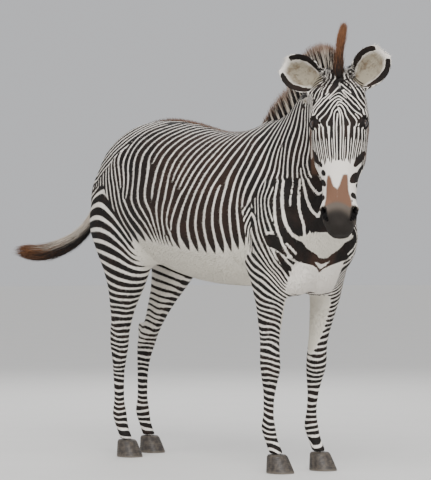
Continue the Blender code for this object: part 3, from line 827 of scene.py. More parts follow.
# White lines of the face, from the middle outwards: (down, aside) along each
faceLines = {
    -0.5: ((180, 0), (230, 0), (290, 0), (350, 0)),
    0: ((157, 0), (175, 6), (210, 8), (260, 7.5), (330, 6)),
    1: ((140, 0), (152, 12), (175, 17.5), (210, 18.5), (260, 18), (340, 14)),
    2: ((117, 0), (130, 18), (150, 29), (180, 37), (210, 38.5), (300, 36), (350, 31)),
    3: ((104, 0), (120, 28), (142, 48), (170, 58), (200, 62), (260, 58), (350, 46)),
    4: ((93, 0), (110, 32), (135, 56), (160, 73), (230, 76), (300, 68), (360, 58)),
    5: ((83, 0), (100, 34), (125, 62), (150, 82), (240, 90), (310, 81), (370, 70)),
    6: ((73, 0), (90, 36), (115, 66), (138, 90)),
    7: ((63, 0), (80, 38), (105, 70), (125, 94)),
    8: ((53, 0), (70, 40), (92, 72), (110, 95)),
    9: ((43, 0), (58, 40), (78, 72)),
    10: ((32, 0), (46, 42), (64, 74)),
    11: ((20, 0), (34, 44), (50, 72)),
    12: ((8, 8), (22, 46)),
}


def onFace(down, aside):
    # the head's own place on the front of the face
    start = fromHead([(down, 0.3, -aside)])[0]
    hit = skinTree.ray_cast(Vector(start), Vector(-headFrame[1]))[0]
    return toHead(np.array(hit)[None])[0]


def faceField():
    sites, values = [], []
    for number, places in faceLines.items():
        for down, aside in curveThrough(metres(places), 5 * len(places) - 4):
            site = onFace(down, abs(aside))
            site[2] = abs(site[2])
            sites.append(site)
            values.append(number)
            if aside > 0:
                sites.append(site * (1, 1, -1))
                values.append(number)
    return smoothField(sites, values, 0.006, 2e-6)


faceWaves = faceField()


# Waves run from minus this on plain black to this on plain white
plain = 1.3

# White lines of the forehead, in tenths of a millimetre: half-width, then (down, left) along each
foreheadLines = (
    (28, (1665, -35), (1800, -47), (2000, -72), (2220, -76)),
    (24, (2220, -185), (2000, -183), (1840, -183), (1680, -170), (1580, -145), (1515, -100), (1480, -30),
     (1520, 10), (1580, 30), (1710, 65), (1840, 70), (2000, 70), (2220, 80)),
    (22, (1470, -40), (1410, 5), (1490, 70), (1605, 117), (1750, 157), (1880, 176), (2000, 183),
     (2220, 187)),
    (25, (1330, -30), (1276, 30), (1330, 124), (1447, 200), (1550, 240), (1680, 270), (1800, 320),
     (1920, 387), (2050, 426), (2220, 415)),
    (27, (2220, -430), (2000, -453), (1875, -394), (1750, -328), (1625, -280), (1500, -243), (1375, -168),
     (1290, -99), (1164, 0), (1190, 124), (1276, 230), (1380, 320), (1487, 374), (1605, 453), (1724, 558),
     (1840, 650), (1950, 695), (2080, 676), (2220, 640)),
    (24, (2220, -630), (2100, -657), (2000, -703), (1880, -742), (1830, -710), (1750, -624), (1625, -492),
     (1500, -407), (1375, -320), (1257, -250), (1110, -125), (1053, 0), (1070, 60), (1120, 124)),
    (25, (2220, -720), (2000, -775), (1816, -840), (1710, -834), (1625, -755), (1500, -643), (1375, -525),
     (1250, -440), (1138, -334), (1066, -250), (974, -125), (920, 0), (1000, 124), (1090, 230), (1200, 334),
     (1316, 426), (1420, 520), (1526, 637), (1605, 742), (1680, 847), (1780, 920)),
    (15, (1040, -360), (908, -229), (816, -98), (776, 0), (790, 60), (868, 163), (947, 240), (1000, 300)),
    (26, (560, -30), (697, -150), (816, -255), (947, -374), (1066, -492), (1158, -584), (1237, -650),
     (1329, -755), (1420, -834), (1526, -887), (1630, -940), (1645, -1000)),
    (20, (803, -374), (868, -440), (960, -518), (1026, -624), (1132, -703), (1224, -795), (1303, -887),
     (1395, -966), (1510, -992), (1620, -1020)),
    (29, (-200, 60), (13, -32), (132, -124), (263, -203), (408, -295), (526, -374), (632, -426),
     (737, -440), (816, -505)),
    (23, (80, -290), (250, -360), (329, -440), (447, -505), (553, -558), (658, -611), (789, -643),
     (921, -663), (1000, -716), (1090, -795), (1197, -900), (1300, -1005)),
    (13, (447, -584), (658, -703), (789, -755), (947, -808), (1080, -887)),
    (21, (-100, -350), (80, -420), (237, -518), (355, -624), (487, -703), (579, -768), (684, -847),
     (776, -905), (950, -960)),
    (23, (670, 137), (763, 200), (880, 295), (1000, 387), (1120, 490), (1224, 580), (1316, 690),
     (1460, 808)),
    (26, (645, 190), (737, 295), (830, 400), (920, 505), (1026, 597), (1120, 690), (1224, 768), (1330, 847),
     (1447, 940), (1550, 953), (1645, 980)),
    (24, (420, 124), (513, 216), (605, 320), (710, 426), (776, 466)),
    (18, (316, 190), (410, 295), (487, 400), (566, 480)),
    (27, (-200, 100), (-50, 140), (105, 200), (250, 295), (340, 400), (434, 490), (553, 558), (697, 637),
     (855, 700), (1000, 768), (1120, 874), (1237, 990), (1290, 1084)),
    (23, (-150, 220), (26, 308), (145, 400), (237, 490), (380, 610), (580, 716), (710, 808), (840, 887),
     (960, 950), (1040, 1045)),
    (22, (0, 460), (263, 637), (380, 742), (526, 847), (658, 950), (737, 1070)),
    (20, (1645, 650), (1737, 730), (1840, 795), (1950, 820), (2090, 755)),
)


def foreheadWaves(head):
    # above 0 on a white line of the forehead, below 0 on the black between
    waves = np.full(len(head), -plain)
    down, out, left = head.T
    near = np.nonzero((down > -0.05) & (down < 0.25) & (np.abs(left) < 0.13) & (out > -0.13))[0]
    place = head[near][:, (0, 2)]
    for half, *places in foreheadLines:
        line = curveThrough(metres(places, 10000), 12 * len(places))
        gap = np.sqrt(((place[:, None] - line[None]) ** 2).sum(axis=2)).min(axis=1)
        waves[near] = np.maximum(waves[near], (half / 10000 * 0.90 - gap) / 0.0022)
    return np.clip(waves, -plain, plain)


# Border between head and neck: down, out
jawLine = ((-50, -50), (0, -80), (80, -150), (140, -200), (200, -245), (265, -268), (322, -243),
           (380, -215), (440, -190), (505, -185), (560, -190), (630, -200))


def onHeadShare(head):
    # 1 on the head as far as the jaw's edge, for the markings
    border = lineAt(head[:, 0], jawLine)
    near = smoothStep(head[:, 1] - border, -0.022, 0.0) * smoothStep(head[:, 0], -0.06, -0.04)
    behind = np.maximum(smoothStep(head[:, 0], 0.085, 0.105), smoothStep(-head[:, 1], 0.120, 0.140))
    near = near * (1 - smoothStep(np.abs(head[:, 2]), 0.114, 0.122) * behind)
    return near * (np.abs(head[:, 2]) < 0.24) * (head[:, 0] < 0.75)


def spot(head, down, aside, long, wide, lean=0.0):
    # signed nearness to an oval on one side of the face: above 0 inside it
    turn = math.radians(lean)
    first, second = head[:, 0] - down, head[:, 2] - aside
    along = (first * math.cos(turn) + second * math.sin(turn)) / long
    across = (second * math.cos(turn) - first * math.sin(turn)) / wide
    return 1 - np.sqrt(along * along + across * across)


# Dark bars of the cheeks and lips, in metres: down, left, half-length, half-width and lean in degrees
faceBars = (
    (0.335, 0.079, 0.042, 0.0095, -31), (0.413, 0.058, 0.028, 0.0115, -30),
    (0.372, 0.083, 0.032, 0.0070, -28), (0.428, 0.070, 0.014, 0.0050, -20),
    (0.485, 0.056, 0.013, 0.0110, 0), (0.511, 0.050, 0.007, 0.0025, 0),
    (0.355, -0.071, 0.013, 0.0055, 25), (0.392, -0.060, 0.015, 0.0075, 30),
    (0.428, -0.061, 0.021, 0.0075, 28), (0.396, -0.079, 0.024, 0.0060, 25),
    (0.488, -0.064, 0.016, 0.0090, 20), (0.315, -0.096, 0.038, 0.0080, 25),
)
# Left and right edges of the two tan prongs above the nostrils: down, left
prongEdges = (
    (((400, -36), (410, -45), (430, -48), (500, -51), (530, -56)),
     ((404, -38), (420, -30), (440, -25), (453, -20), (466, -4))),
    (((403, 24), (410, 16), (420, 12), (450, 2), (466, -6)),
     ((400, 26), (410, 34.5), (470, 37), (500, 46), (530, 52))),
)


def headMarks(points):
    # the face's fields and waves, their shares, how tan the nose is with painted shade on the sides of the
    # cheeks, and how dark the nose is
    head = toHead(points)
    down, out, left = head.T
    aside = np.abs(left)
    face = faceWaves(head)
    cheek = (down + 0.62 * out + 0.05 * aside) / 0.032
    # the face's own lines reach back to the eye, and the cheek's begin behind them
    front = smoothStep(-out - 0.55 * aside, 0.062, 0.022)
    front = np.where(down < 0.14, smoothStep(-out, 0.115, 0.085), front)
    doubled = smoothStep(down, 0.215, 0.275) * smoothStep(aside, 0.012, 0.022)

    # the pale muzzle
    edge = 0.012 * np.sin(left * 260) * smoothStep(aside, 0.0, 0.04)
    share = smoothStep(down + edge, 0.338, 0.362)
    value = share * plain
    # the forehead's lines, smudged at the top of the middle one
    fine = front * smoothStep(down, 0.222, 0.208) * smoothStep(down, -0.035, -0.020)
    fine = fine * smoothStep(aside, 0.106, 0.096) * smoothStep(aside - down, 0.050, 0.035)
    smudge = smoothStep(spot(head, 0.045, 0.004, 0.036, 0.012), -0.2, 0.8)
    value = value * (1 - fine) + fine * (foreheadWaves(head) * (1 - smudge) + 0.02 * smudge)
    share = np.maximum(share, fine)
    for bar in faceBars:
        inside = smoothStep(spot(head, *bar), -0.12, 0.12)
        inside = inside * smoothStep(-out, 0.005, 0.012) * smoothStep(-out, 0.105, 0.080)
        value = value * (1 - inside) - inside * plain
        share = np.maximum(share, inside)
    # the brows and the lids' rims
    brow = np.maximum(*[spot(head, 0.185, side * 0.092, 0.026, 0.0075, -side * 54) for side in (1, -1)])
    dark = smoothStep(brow, -0.15, 0.15) * smoothStep(-out, 0.085, 0.070)
    for side in (1, -1):
        offset = points - eyeMiddle(side)
        radius = np.linalg.norm(offset, axis=1)
        near = (radius < 0.040) * smoothStep(offset @ eyeFrame(side)[0] / radius, 0.15, 0.35)
        gap = openingGap(offset / radius[:, None], side)[0]
        dark = np.maximum(dark, smoothStep(gap, -0.0048, -0.0028) * near)
    value = value * (1 - dark) - dark * plain
    share = np.maximum(share, dark)

    prongs = [np.minimum(left - lineAt(down, low), lineAt(down, high) - left) for low, high in prongEdges]
    tanAndCheekShade = smoothStep(np.maximum(*prongs), -0.0025, 0.0025)
    tanAndCheekShade = tanAndCheekShade * smoothStep(down, 0.402, 0.410) * smoothStep(-out, 0.10, 0.07)
    # painted shade: the side plane of the face below the eye takes half of the tan colour
    shadedCheekSide = smoothStep(-out, 0.060, 0.085) * smoothStep(down, 0.17, 0.20) * smoothStep(down, 0.36, 0.30)
    tanAndCheekShade = np.maximum(tanAndCheekShade, 0.5 * shadedCheekSide * smoothStep(aside, 0.085, 0.098))
    nose = down - 0.500 - 9 * (left + 0.008) ** 2 - 0.35 * np.maximum(-out - 0.10, 0)
    lips = smoothStep(down, 0.530, 0.590)
    nose = smoothStep(nose, 0.0, 0.075) * (1 - 0.85 * smoothStep(aside, 0.058, 0.072) * (1 - lips))
    # painted shade: the nostrils' pits are coloured near black
    nostril = smoothStep(nostrilGap(head), -0.0020, 0.0020)
    around = smoothStep(nostrilGap(head), -0.010, -0.002) * smoothStep(down, 0.528, 0.540)
    nose = np.maximum(nose, 0.8 * around) + nostril
    return face, cheek, front, doubled, value, share, tanAndCheekShade, nose


def earFrame(side):
    # root, and the directions to the tip, to the opening and across
    sign = 1 if side == "left" else -1
    lean = math.radians(36 if side == "left" else 60)
    down, out, left = headFrame
    root = fromHead([(0.030 if side == "left" else 0.024, -0.046, sign * 0.066)])[0]
    upward = unit(-math.cos(lean) * down + sign * math.sin(lean) * left - 0.10 * out)
    across = unit(np.cross(upward, out + 0.28 * down + 0.12 * sign * left))
    return root, np.array([upward, np.cross(across, upward), across])


# The ear's rim: along, across and how far towards its opening
earRim = ((-10, 22, 28), (20, 42, 25), (45, 58, 23), (80, 71, 22), (112, 73, 24), (140, 65, 28),
          (162, 49, 33), (176, 29, 38), (181, 0, 40))


def nearEar(place):
    return (np.abs(place[:, 1]) < 0.09) & (np.abs(place[:, 2]) < 0.10)


def earMarks(points, normals):
    # share of the ear, its waves, and share of its inside, whose pale hair is painted darker as shade in
    # the ear's hollow
    inEar, value, shadedEarInside = np.zeros((3, len(points)))
    half = curveThrough(metres(earRim), 60)[:, (0, 2, 1)]
    rim = np.concatenate([half, half * (1, 1, -1)])
    for side in ("left", "right"):
        root, axes = earFrame(side)
        place = (points - root) @ axes.T
        near = np.nonzero((place[:, 0] > 0.005) & nearEar(place))[0]
        local, facing = place[near], normals[near] @ axes.T
        inward = unit(np.array((0.0, 0.034, 0.0)) - local * (0, 1, 1))
        towards = (inward * facing).sum(axis=1)
        gap = np.sqrt(((local[:, None] - rim[None]) ** 2).sum(axis=2)).min(axis=1)
        level = np.sqrt(((local[:, None, ::2] - rim[None, :, ::2]) ** 2).sum(axis=2)).min(axis=1)
        inside = smoothStep(towards, -0.1, 0.1)
        along = local[:, 0]
        # the black band inside the pale rim
        width = lineAt(along, ((15, 6), (45, 19), (90, 24), (130, 23), (155, 20)))
        edge = 0.002 + 0.002 * smoothStep(along, 0.100, 0.150)
        black = np.minimum(width - level, level - edge) / 0.0025
        black = np.minimum(black, (0.153 - along + 0.25 * np.abs(local[:, 2])) / 0.003)
        black = np.where(along > 0.015, black, -plain)
        made = np.clip(-black, -plain, plain) * inside
        # the back: rings, then black, then the pale tip
        back = np.cos(along / 0.030 * 2 * math.pi) * smoothStep(along, 0.085, 0.07)
        back = back - plain * smoothStep(along, 0.07, 0.085) * smoothStep(along, 0.152, 0.146)
        back = back + plain * smoothStep(along, 0.146, 0.152)
        back = np.where(gap < 0.006, np.maximum(back, 1.0), back)
        inEar[near] = np.maximum(inEar[near], smoothStep(along, 0.022, 0.040))
        value[near] = made + back * (1 - inside)
        # painted shade: the ear's inside past the black band is darkened over its pale hair
        shadedEarInside[near] = inside * smoothStep(level, width - 0.004, width + 0.008)
    return inEar, value, shadedEarInside


# Top and foot of the breast's black band: aside, up
bandTop = ((0, 866), (22, 869), (45, 886), (84, 903), (116, 931), (145, 942), (170, 962))
bandFoot = ((0, 807), (20, 827), (50, 838), (100, 849), (150, 862), (200, 885), (240, 920))


def breastMarks(body, normals):
    # waves of the breast, their share, how brown its band is and the white above it
    forward, left, up = body.T
    aside = np.abs(left)
    top = lineAt(aside, bandTop)
    foot = lineAt(aside, bandFoot)
    band = np.minimum(top - up, up - foot) / 0.006
    notch = np.minimum(up - 0.821 - 0.75 * aside, 0.842 + 0.30 * aside - up) / 0.004
    notch = np.minimum(notch, (0.048 - aside) / 0.005)
    value = np.where(notch > -1, np.minimum(band, -notch), band)
    facing = smoothStep(-normals[:, 1], 0.15, 0.45) * smoothStep(forward, 0.60, 0.645)
    below = smoothStep(aside, 0.150, 0.120)
    low = np.maximum(below, smoothStep(up, foot - 0.012, foot - 0.002))
    share = facing * smoothStep(up, top + 0.016, top + 0.008) * low * smoothStep(up, 0.66, 0.72)
    roof = lineAt(aside, ((0, 969), (70, 966), (84, 978), (98, 956), (140, 953), (160, 962)))
    pale = smoothStep(up, roof + 0.004, roof - 0.004) * smoothStep(up, top - 0.003, top + 0.003) * facing
    pale = pale * smoothStep(aside, 0.168, 0.156)
    return -np.clip(value, -1.4, 1.4), share, smoothStep(aside, 0.09, 0.04), pale


# White lines of the throat and breast: half-width in tenths of a millimetre, then the distance along the
# neck, aside and up of each place
throatLines = (
    (58, (699, 140, 1190), (715, 157, 1134), (716, 167, 1090), (708, 184, 1034), (699, 203, 968),
     (698, 200, 919), (702, 178, 883), (704, 150, 860), (704, 120, 846)),
    (70, (718, 125, 1190), (731, 134, 1147), (736, 138, 1104), (731, 151, 1042), (728, 162, 1005),
     (726, 161, 968), (727, 145, 950), (725, 120, 942)),
    (42, (762, 98, 1190), (750, 101, 1133), (746, 112, 1078)),
    (62, (805, 81, 1210), (782, 79, 1166), (757, 74, 1105), (744, 79, 1059), (736, 81, 1025),
     (731, 85, 997), (728, 93, 974), (725, 98, 945)),
    (65, (807, 75, 1199), (793, 67, 1166), (782, 56, 1136), (762, 40, 1094), (741, 25, 1059),
     (729, 4, 1036)),
    (60, (821, 63, 1202), (810, 48, 1169), (801, 26, 1141), (790, 0, 1120)),
    (60, (848, 42, 1213), (840, 19, 1188), (836, 0, 1175)),
    (45, (709, 190, 925), (712, 168, 903), (710, 142, 884)),
)
# Where the throat's lines begin: up, distance along the neck
throatEdge = ((855, 702), (883, 694), (919, 688), (968, 688), (1034, 699), (1091, 704), (1134, 703),
              (1191, 689), (1214, 676))


def throatMarks(points, normals, flat, pale):
    # waves of the throat and the breast's sides, and their share
    along, aside, up = flat.T
    edge = lineAt(up, throatEdge)
    share = smoothStep(along, edge - 0.003, edge + 0.003) * smoothStep(up, 1.195, 1.175)
    top = lineAt(aside, bandTop)
    share = share * np.maximum(smoothStep(aside, 0.112, 0.122), smoothStep(up, top - 0.004, top))
    share = share * smoothStep(up, 0.838, 0.846)
    near = np.nonzero(share > 0)[0]
    place = flat[near]
    # distances are measured along the surface
    way = unit(mirrored(points[near] + normals[near] * 0.004) - place)
    waves = np.full(len(near), -plain)
    for half, *places in throatLines:
        line = curveThrough(metres(places), 10 * len(places))
        offset = place[:, None] - line[None]
        rise = (offset * way[:, None]).sum(axis=2)
        gap = np.sqrt(np.maximum((offset ** 2).sum(axis=2) - 0.95 * rise * rise, 0)).min(axis=1)
        narrow = 0.75 + 0.25 * smoothStep(place[:, 2], 1.19, 1.06)
        waves = np.maximum(waves, (half / 10000 * narrow - gap) / 0.0025)
    value = np.zeros(len(flat))
    value[near] = np.clip(np.maximum(waves, pale[near] * 2.6 - plain), -plain, plain)
    return value, share


def evened(values, edges, count, times):
    # each point's value averaged with its neighbours'
    share = np.bincount(edges.ravel(), minlength=count) + 1.0
    for step in range(times):
        total = values + np.bincount(edges[:, 0], values[edges[:, 1]], count)
        values = (total + np.bincount(edges[:, 1], values[edges[:, 0]], count)) / share
    return values


def steepness(points, corners, *layers):
    # gradient of each layer over each triangle
    first, second = (points[corners[:, k]] - points[corners[:, 0]] for k in (1, 2))
    normal = np.cross(first, second)
    area = np.maximum((normal ** 2).sum(axis=1), 1e-16)[:, None]
    made = []
    for values in layers:
        rise = [(values[corners[:, k]] - values[corners[:, 0]])[:, None] for k in (1, 2)]
        made.append((np.cross(second, normal) * rise[0] + np.cross(normal, first) * rise[1]) / area)
    return made


def hoopShare(points, corners, edges, hoops, turn):
    # how much of each hoop's width is white: the white lines keep nearly one width
    cosine, sine = np.cos(turn), np.sin(turn)
    slope, slopeCos, slopeSin = steepness(points, corners, hoops, cosine, sine)
    middle = [values[corners].mean(axis=1)[:, None] for values in (cosine, sine)]
    slope = slope - (middle[0] * slopeSin - middle[1] * slopeCos) / fullTurn
    steep = np.linalg.norm(slope, axis=1)
    count = np.maximum(np.bincount(corners.ravel(), minlength=len(points)), 1)
    steep = np.bincount(corners.ravel(), np.repeat(steep, 3), len(points)) / count
    return np.clip(evened(steep, edges, len(points), 12) * 0.0122, 0.31, 0.38)


def bodyMarks(points):
    # the body's fields, the share of each, and the places that the other markings start from
    body = toBody(points)
    flat = mirrored(points)
    forward, aside, up = flat.T
    hoops = hoopField(flat)
    turn = forkTurn(flat, hoopTurns)
    atFront = forward > 0.25
    second = np.where(atFront, backField(flat), thighField(flat))
    foreleg = forelegField(flat)
    low = smoothStep(up, 0.80, 0.62)
    second = second + low * unevenness(points, 16.0, 3.1) * 0.55
    foreleg = foreleg + low * unevenness(points, 16.0, 8.4) * 0.55
    onHead = onHeadShare(toHead(points))
    inThigh = edgeBetween(flat, thighEdge, 0.012 + 0.02 * smoothStep(up, 1.1, 1.0)) * (1 - atFront)
    onCroup = 1 - edgeBetween(flat, croupEdge, 0.002)
    inThigh = np.maximum(inThigh, onCroup * smoothStep(forward, -0.10, -0.14))
    back, axis, front = (lineAt(up, places) for places in (pointBack, pointAxis, pointFront))
    below = smoothStep(up, 1.085, 1.072) * atFront
    behind = smoothStep(forward, axis + 0.003, axis - 0.003) * smoothStep(up, 0.882, 0.892)
    inPoint = smoothStep(forward, back - 0.004, back + 0.004)
    inPoint = inPoint * smoothStep(forward, front + 0.004, front - 0.004) * below
    inSecond = np.where(atFront, inPoint * behind, inThigh)
    inForeleg = inPoint * (1 - behind)
    inHoops = (1 - inSecond) * (1 - inForeleg)
    return {
        "phases": np.stack([hoops, second, foreleg], axis=1),
        "shares": np.stack([inHoops, inSecond, inForeleg], axis=1) * (1 - onHead)[:, None],
        "turns": np.stack([np.cos(turn), np.sin(turn), onHead], axis=1),
        "flat": flat, "body": body, "turn": turn, "inForeleg": inForeleg, "inThigh": inThigh,
    }


def storeVector(mesh, name, values):
    # three numbers for each point, which a material reads by this name
    layer = mesh.attributes.new(name, "FLOAT_VECTOR", "POINT")
    layer.data.foreach_set("vector", np.ascontiguousarray(values, np.float32).ravel())


def layersAt(points, normals, marks, hoopWhite):
    # every layer of the markings at these places
    face, cheek, front, doubled, faceValue, faceShare, tanAndCheekShade, nose = headMarks(points)
    inEar, earValue, shadedEarInside = earMarks(points, normals)
    breast, breastShare, middle, throat = breastMarks(marks["body"], normals)
    flat, body = marks["flat"], marks["body"]
    onHead = marks["turns"][:, 2] * (1 - inEar)
    offHead = (1 - marks["turns"][:, 2]) * (1 - inEar)
    edge = lineAt(flat[:, 0], bellyEdge)
    trunkOnly = smoothStep(flat[:, 0], -0.30, -0.20) * smoothStep(flat[:, 0], 0.56, 0.48)
    belly = smoothStep(edge - flat[:, 2], -0.045, 0.030) * trunkOnly * (1 - marks["inForeleg"])
    # the inner sides of the thighs and forearms are white
    towardsMiddle = -np.sign(body[:, 1]) * normals[:, 0]
    upperLeg = smoothStep(flat[:, 2], 0.44, 0.60) * smoothStep(flat[:, 2], 0.98, 0.86)
    legs = np.maximum(marks["inForeleg"], marks["inThigh"])
    bare = smoothStep(towardsMiddle, 0.95 - 0.65 * upperLeg, 1.15 - 0.65 * upperLeg) * legs * (upperLeg > 0)
    belly = np.maximum(belly, bare * (0.32 + 0.68 * (flat[:, 0] > 0.25)))
    belly = np.maximum(belly, throat * offHead)
    faceShare = faceShare * onHead
    throatValue, inThroat = throatMarks(points, normals, flat, throat)
    inThroat = inThroat * offHead
    breastShare = breastShare * offHead * (1 - inThroat)
    share = np.maximum(np.maximum(faceShare, inThroat), np.maximum(breastShare, inEar))
    value = (breast * breastShare + throatValue * inThroat) * (1 - faceShare)
    value = (faceValue * faceShare + value) * (1 - inEar) + earValue * inEar
    barrel = smoothStep(flat[:, 2], 0.85, 1.00) * smoothStep(flat[:, 2], 1.44, 1.34)
    inHoops, inSecond, inForeleg = marks["shares"].T
    onNeck = smoothStep(flat[:, 0], 0.58, 0.76)
    lower = smoothStep(flat[:, 2], 0.80, 0.66)
    bias = np.cos(math.pi * (hoopWhite * 0.80 - 0.02 * onNeck)) * inHoops
    bias = bias + (0.46 * marks["inThigh"] + 0.34 * (1 - marks["inThigh"])) * inSecond
    bias = bias + (0.34 + 0.08 * lower) * inForeleg + (0.36 - 0.04 * front) * onHead
    brown = breastShare * middle + 0.45 * smoothStep(np.abs(flat[:, 0] - 0.18), 0.40, 0.15) * barrel
    return {
        "phases": marks["phases"],
        "shares": marks["shares"] * (1 - inEar)[:, None],
        "turns": np.stack([marks["turns"][:, 0], marks["turns"][:, 1], shadedEarInside], axis=1),
        "face": np.stack([face, cheek, front * onHead], axis=1),
        "masks": np.stack([belly, doubled, (1 - front) * onHead], axis=1),
        "over": np.stack([value, share, bias], axis=1),
        "tints": np.stack([tanAndCheekShade * onHead, nose * onHead, brown], axis=1),
    }


def markSkin():
    # stores the layers on the skin, and returns them and the share of white in its hoops
    points = readPoints(skinMesh)
    normals = readNormals(skinMesh)
    edges = readRows(skinMesh.edges, "vertices", 2, int)
    marks = bodyMarks(points)
    white = hoopShare(points, triangles(skinMesh), edges, marks["phases"][:, 0], marks["turn"])
    layers = layersAt(points, normals, marks, white)
    for name, values in layers.items():
        storeVector(skinMesh, name, values)
    return layers, white


skinLayers, hoopWhite = markSkin()
print("markings worked out")

# One material for the skin and its coat
coatColours = {
    "black": (0.007, 0.005, 0.004, 1),
    "brown": (0.040, 0.019, 0.012, 1),
    "white": (0.80, 0.75, 0.68, 1),
    "belly": (0.66, 0.62, 0.53, 1),
    # tan of the nose, also used for painted shade on the sides of the cheeks
    "tanAndCheekShade": (0.160, 0.082, 0.050, 1),
    "grey": (0.115, 0.093, 0.075, 1),
    "nose": (0.022, 0.018, 0.015, 1),
    # painted shade inside the nostrils' pits
    "nostril": (0.003, 0.002, 0.002, 1),
    # pale hair inside the ears, darkened as painted shade
    "ear": (0.28, 0.245, 0.18, 1),
    "earDeepShade": (0.090, 0.050, 0.022, 1),
}
coatFinish = {"roughness": 0.75, "gloss": 0.25, "fuzz": 420.0, "grain": 600.0, "bump": (0.25, 0.002)}


def coatMaterial(name):
    material, start, shader = newMaterial(name)
    hoops, second, foreleg = attribute(start, "phases").split()
    inHoops, inSecond, inForeleg = attribute(start, "shares").split()
    turnCos, turnSin, shadedEarInside = attribute(start, "turns").split()
    face, cheek, inFace = attribute(start, "face").split()
    belly, doubled, inCheek = attribute(start, "masks").split()
    value, share, bias = attribute(start, "over").split()
    tanAndCheekShade, nose, brown = attribute(start, "tints").split()
    hoopTurn = hoops * fullTurn
    waves = inHoops * (hoopTurn.cosine() * turnCos + hoopTurn.sine() * turnSin)
    waves = waves + inSecond * (second * fullTurn).cosine() + inForeleg * (foreleg * fullTurn).cosine()
    faceWave = (face * fullTurn).cosine() * (1 - doubled * 0.75)
    faceWave = faceWave + (face * (2 * fullTurn)).cosine() * doubled * 0.75
    waves = waves + inFace * faceWave + inCheek * (cheek * fullTurn).cosine()
    waves = (waves + belly * 2.2 - bias) * (1 - share) + value * share
    place = objectPlace(start)
    fuzz = noiseWire(start, place, coatFinish["fuzz"]) - 0.5
    whiteness = (waves + fuzz * 0.5).ramp(-0.16, 0.16)
    tone = noiseWire(start, place, 14.0, 3.0)
    dark = (brown + tone.ramp(0.40, 0.75) * 0.35).clamp().mix(coatColours["black"], coatColours["brown"])
    pale = belly.mix(coatColours["white"], coatColours["belly"])
    blotch = noiseWire(start, place, 24.0, 6.0, 0.7).ramp(0.44, 0.68) * 0.75
    # painted shade darkens the pale hair inside the ears, in blotches of random tone
    pale = shadedEarInside.mix(pale, blotch.mix(coatColours["ear"], coatColours["earDeepShade"]))
    colour = whiteness.mix(dark, pale)
    # the nose's tan, and painted shade on the sides of the cheeks
    colour = tanAndCheekShade.mix(colour, coatColours["tanAndCheekShade"])
    colour = nose.ramp(0.0, 0.22).mix(colour, coatColours["grey"])
    colour = nose.ramp(0.30, 0.95).mix(colour, coatColours["nose"])
    # painted shade: near black in the nostrils' pits
    colour = nose.ramp(1.2, 1.6).mix(colour, coatColours["nostril"])
    feed(colour, shader, "Base Color")
    shader.inputs["Roughness"].default_value = coatFinish["roughness"]
    shader.inputs["Specular IOR Level"].default_value = coatFinish["gloss"]
    grain = noiseWire(start, place, coatFinish["grain"])
    feed(bumpWire(start, grain, *coatFinish["bump"]), shader, "Normal")
    return material


coat = coatMaterial("coat")
skin = addPiece("skin", skinMesh, coat, "coat", *skinPlan["flesh"])


def unwrapped(piece):
    # the skin's unwrap, which the coat's own maps follow
    bpy.context.view_layer.objects.active = piece
    piece.select_set(True)
    bpy.ops.object.mode_set(mode="EDIT")
    bpy.ops.mesh.select_all(action="SELECT")
    bpy.ops.uv.smart_project(angle_limit=math.radians(72), island_margin=0.0015)
    bpy.ops.object.mode_set(mode="OBJECT")
    piece.select_set(False)
    layer = piece.data.uv_layers.active
    layer.name = "OFBake"
    return readRows(layer.data, "uv", 2)


triangulated = bmesh.new()
triangulated.from_mesh(skinMesh)
bmesh.ops.triangulate(triangulated, faces=triangulated.faces)
triangulated.to_mesh(skinMesh)
triangulated.free()
skinCornerUv = unwrapped(skin).reshape(-1, 3, 2)
skinPoints = readPoints(skinMesh)
skinNormals = readNormals(skinMesh)
skinCorners = readRows(skinMesh.loops, "vertex_index", 1, int).reshape(-1, 3)
print("skin unwrapped")

# Each lock's patch on the coat's own map: half its width, and its length
patch = {"half": 0.0012, "long": 0.0026}


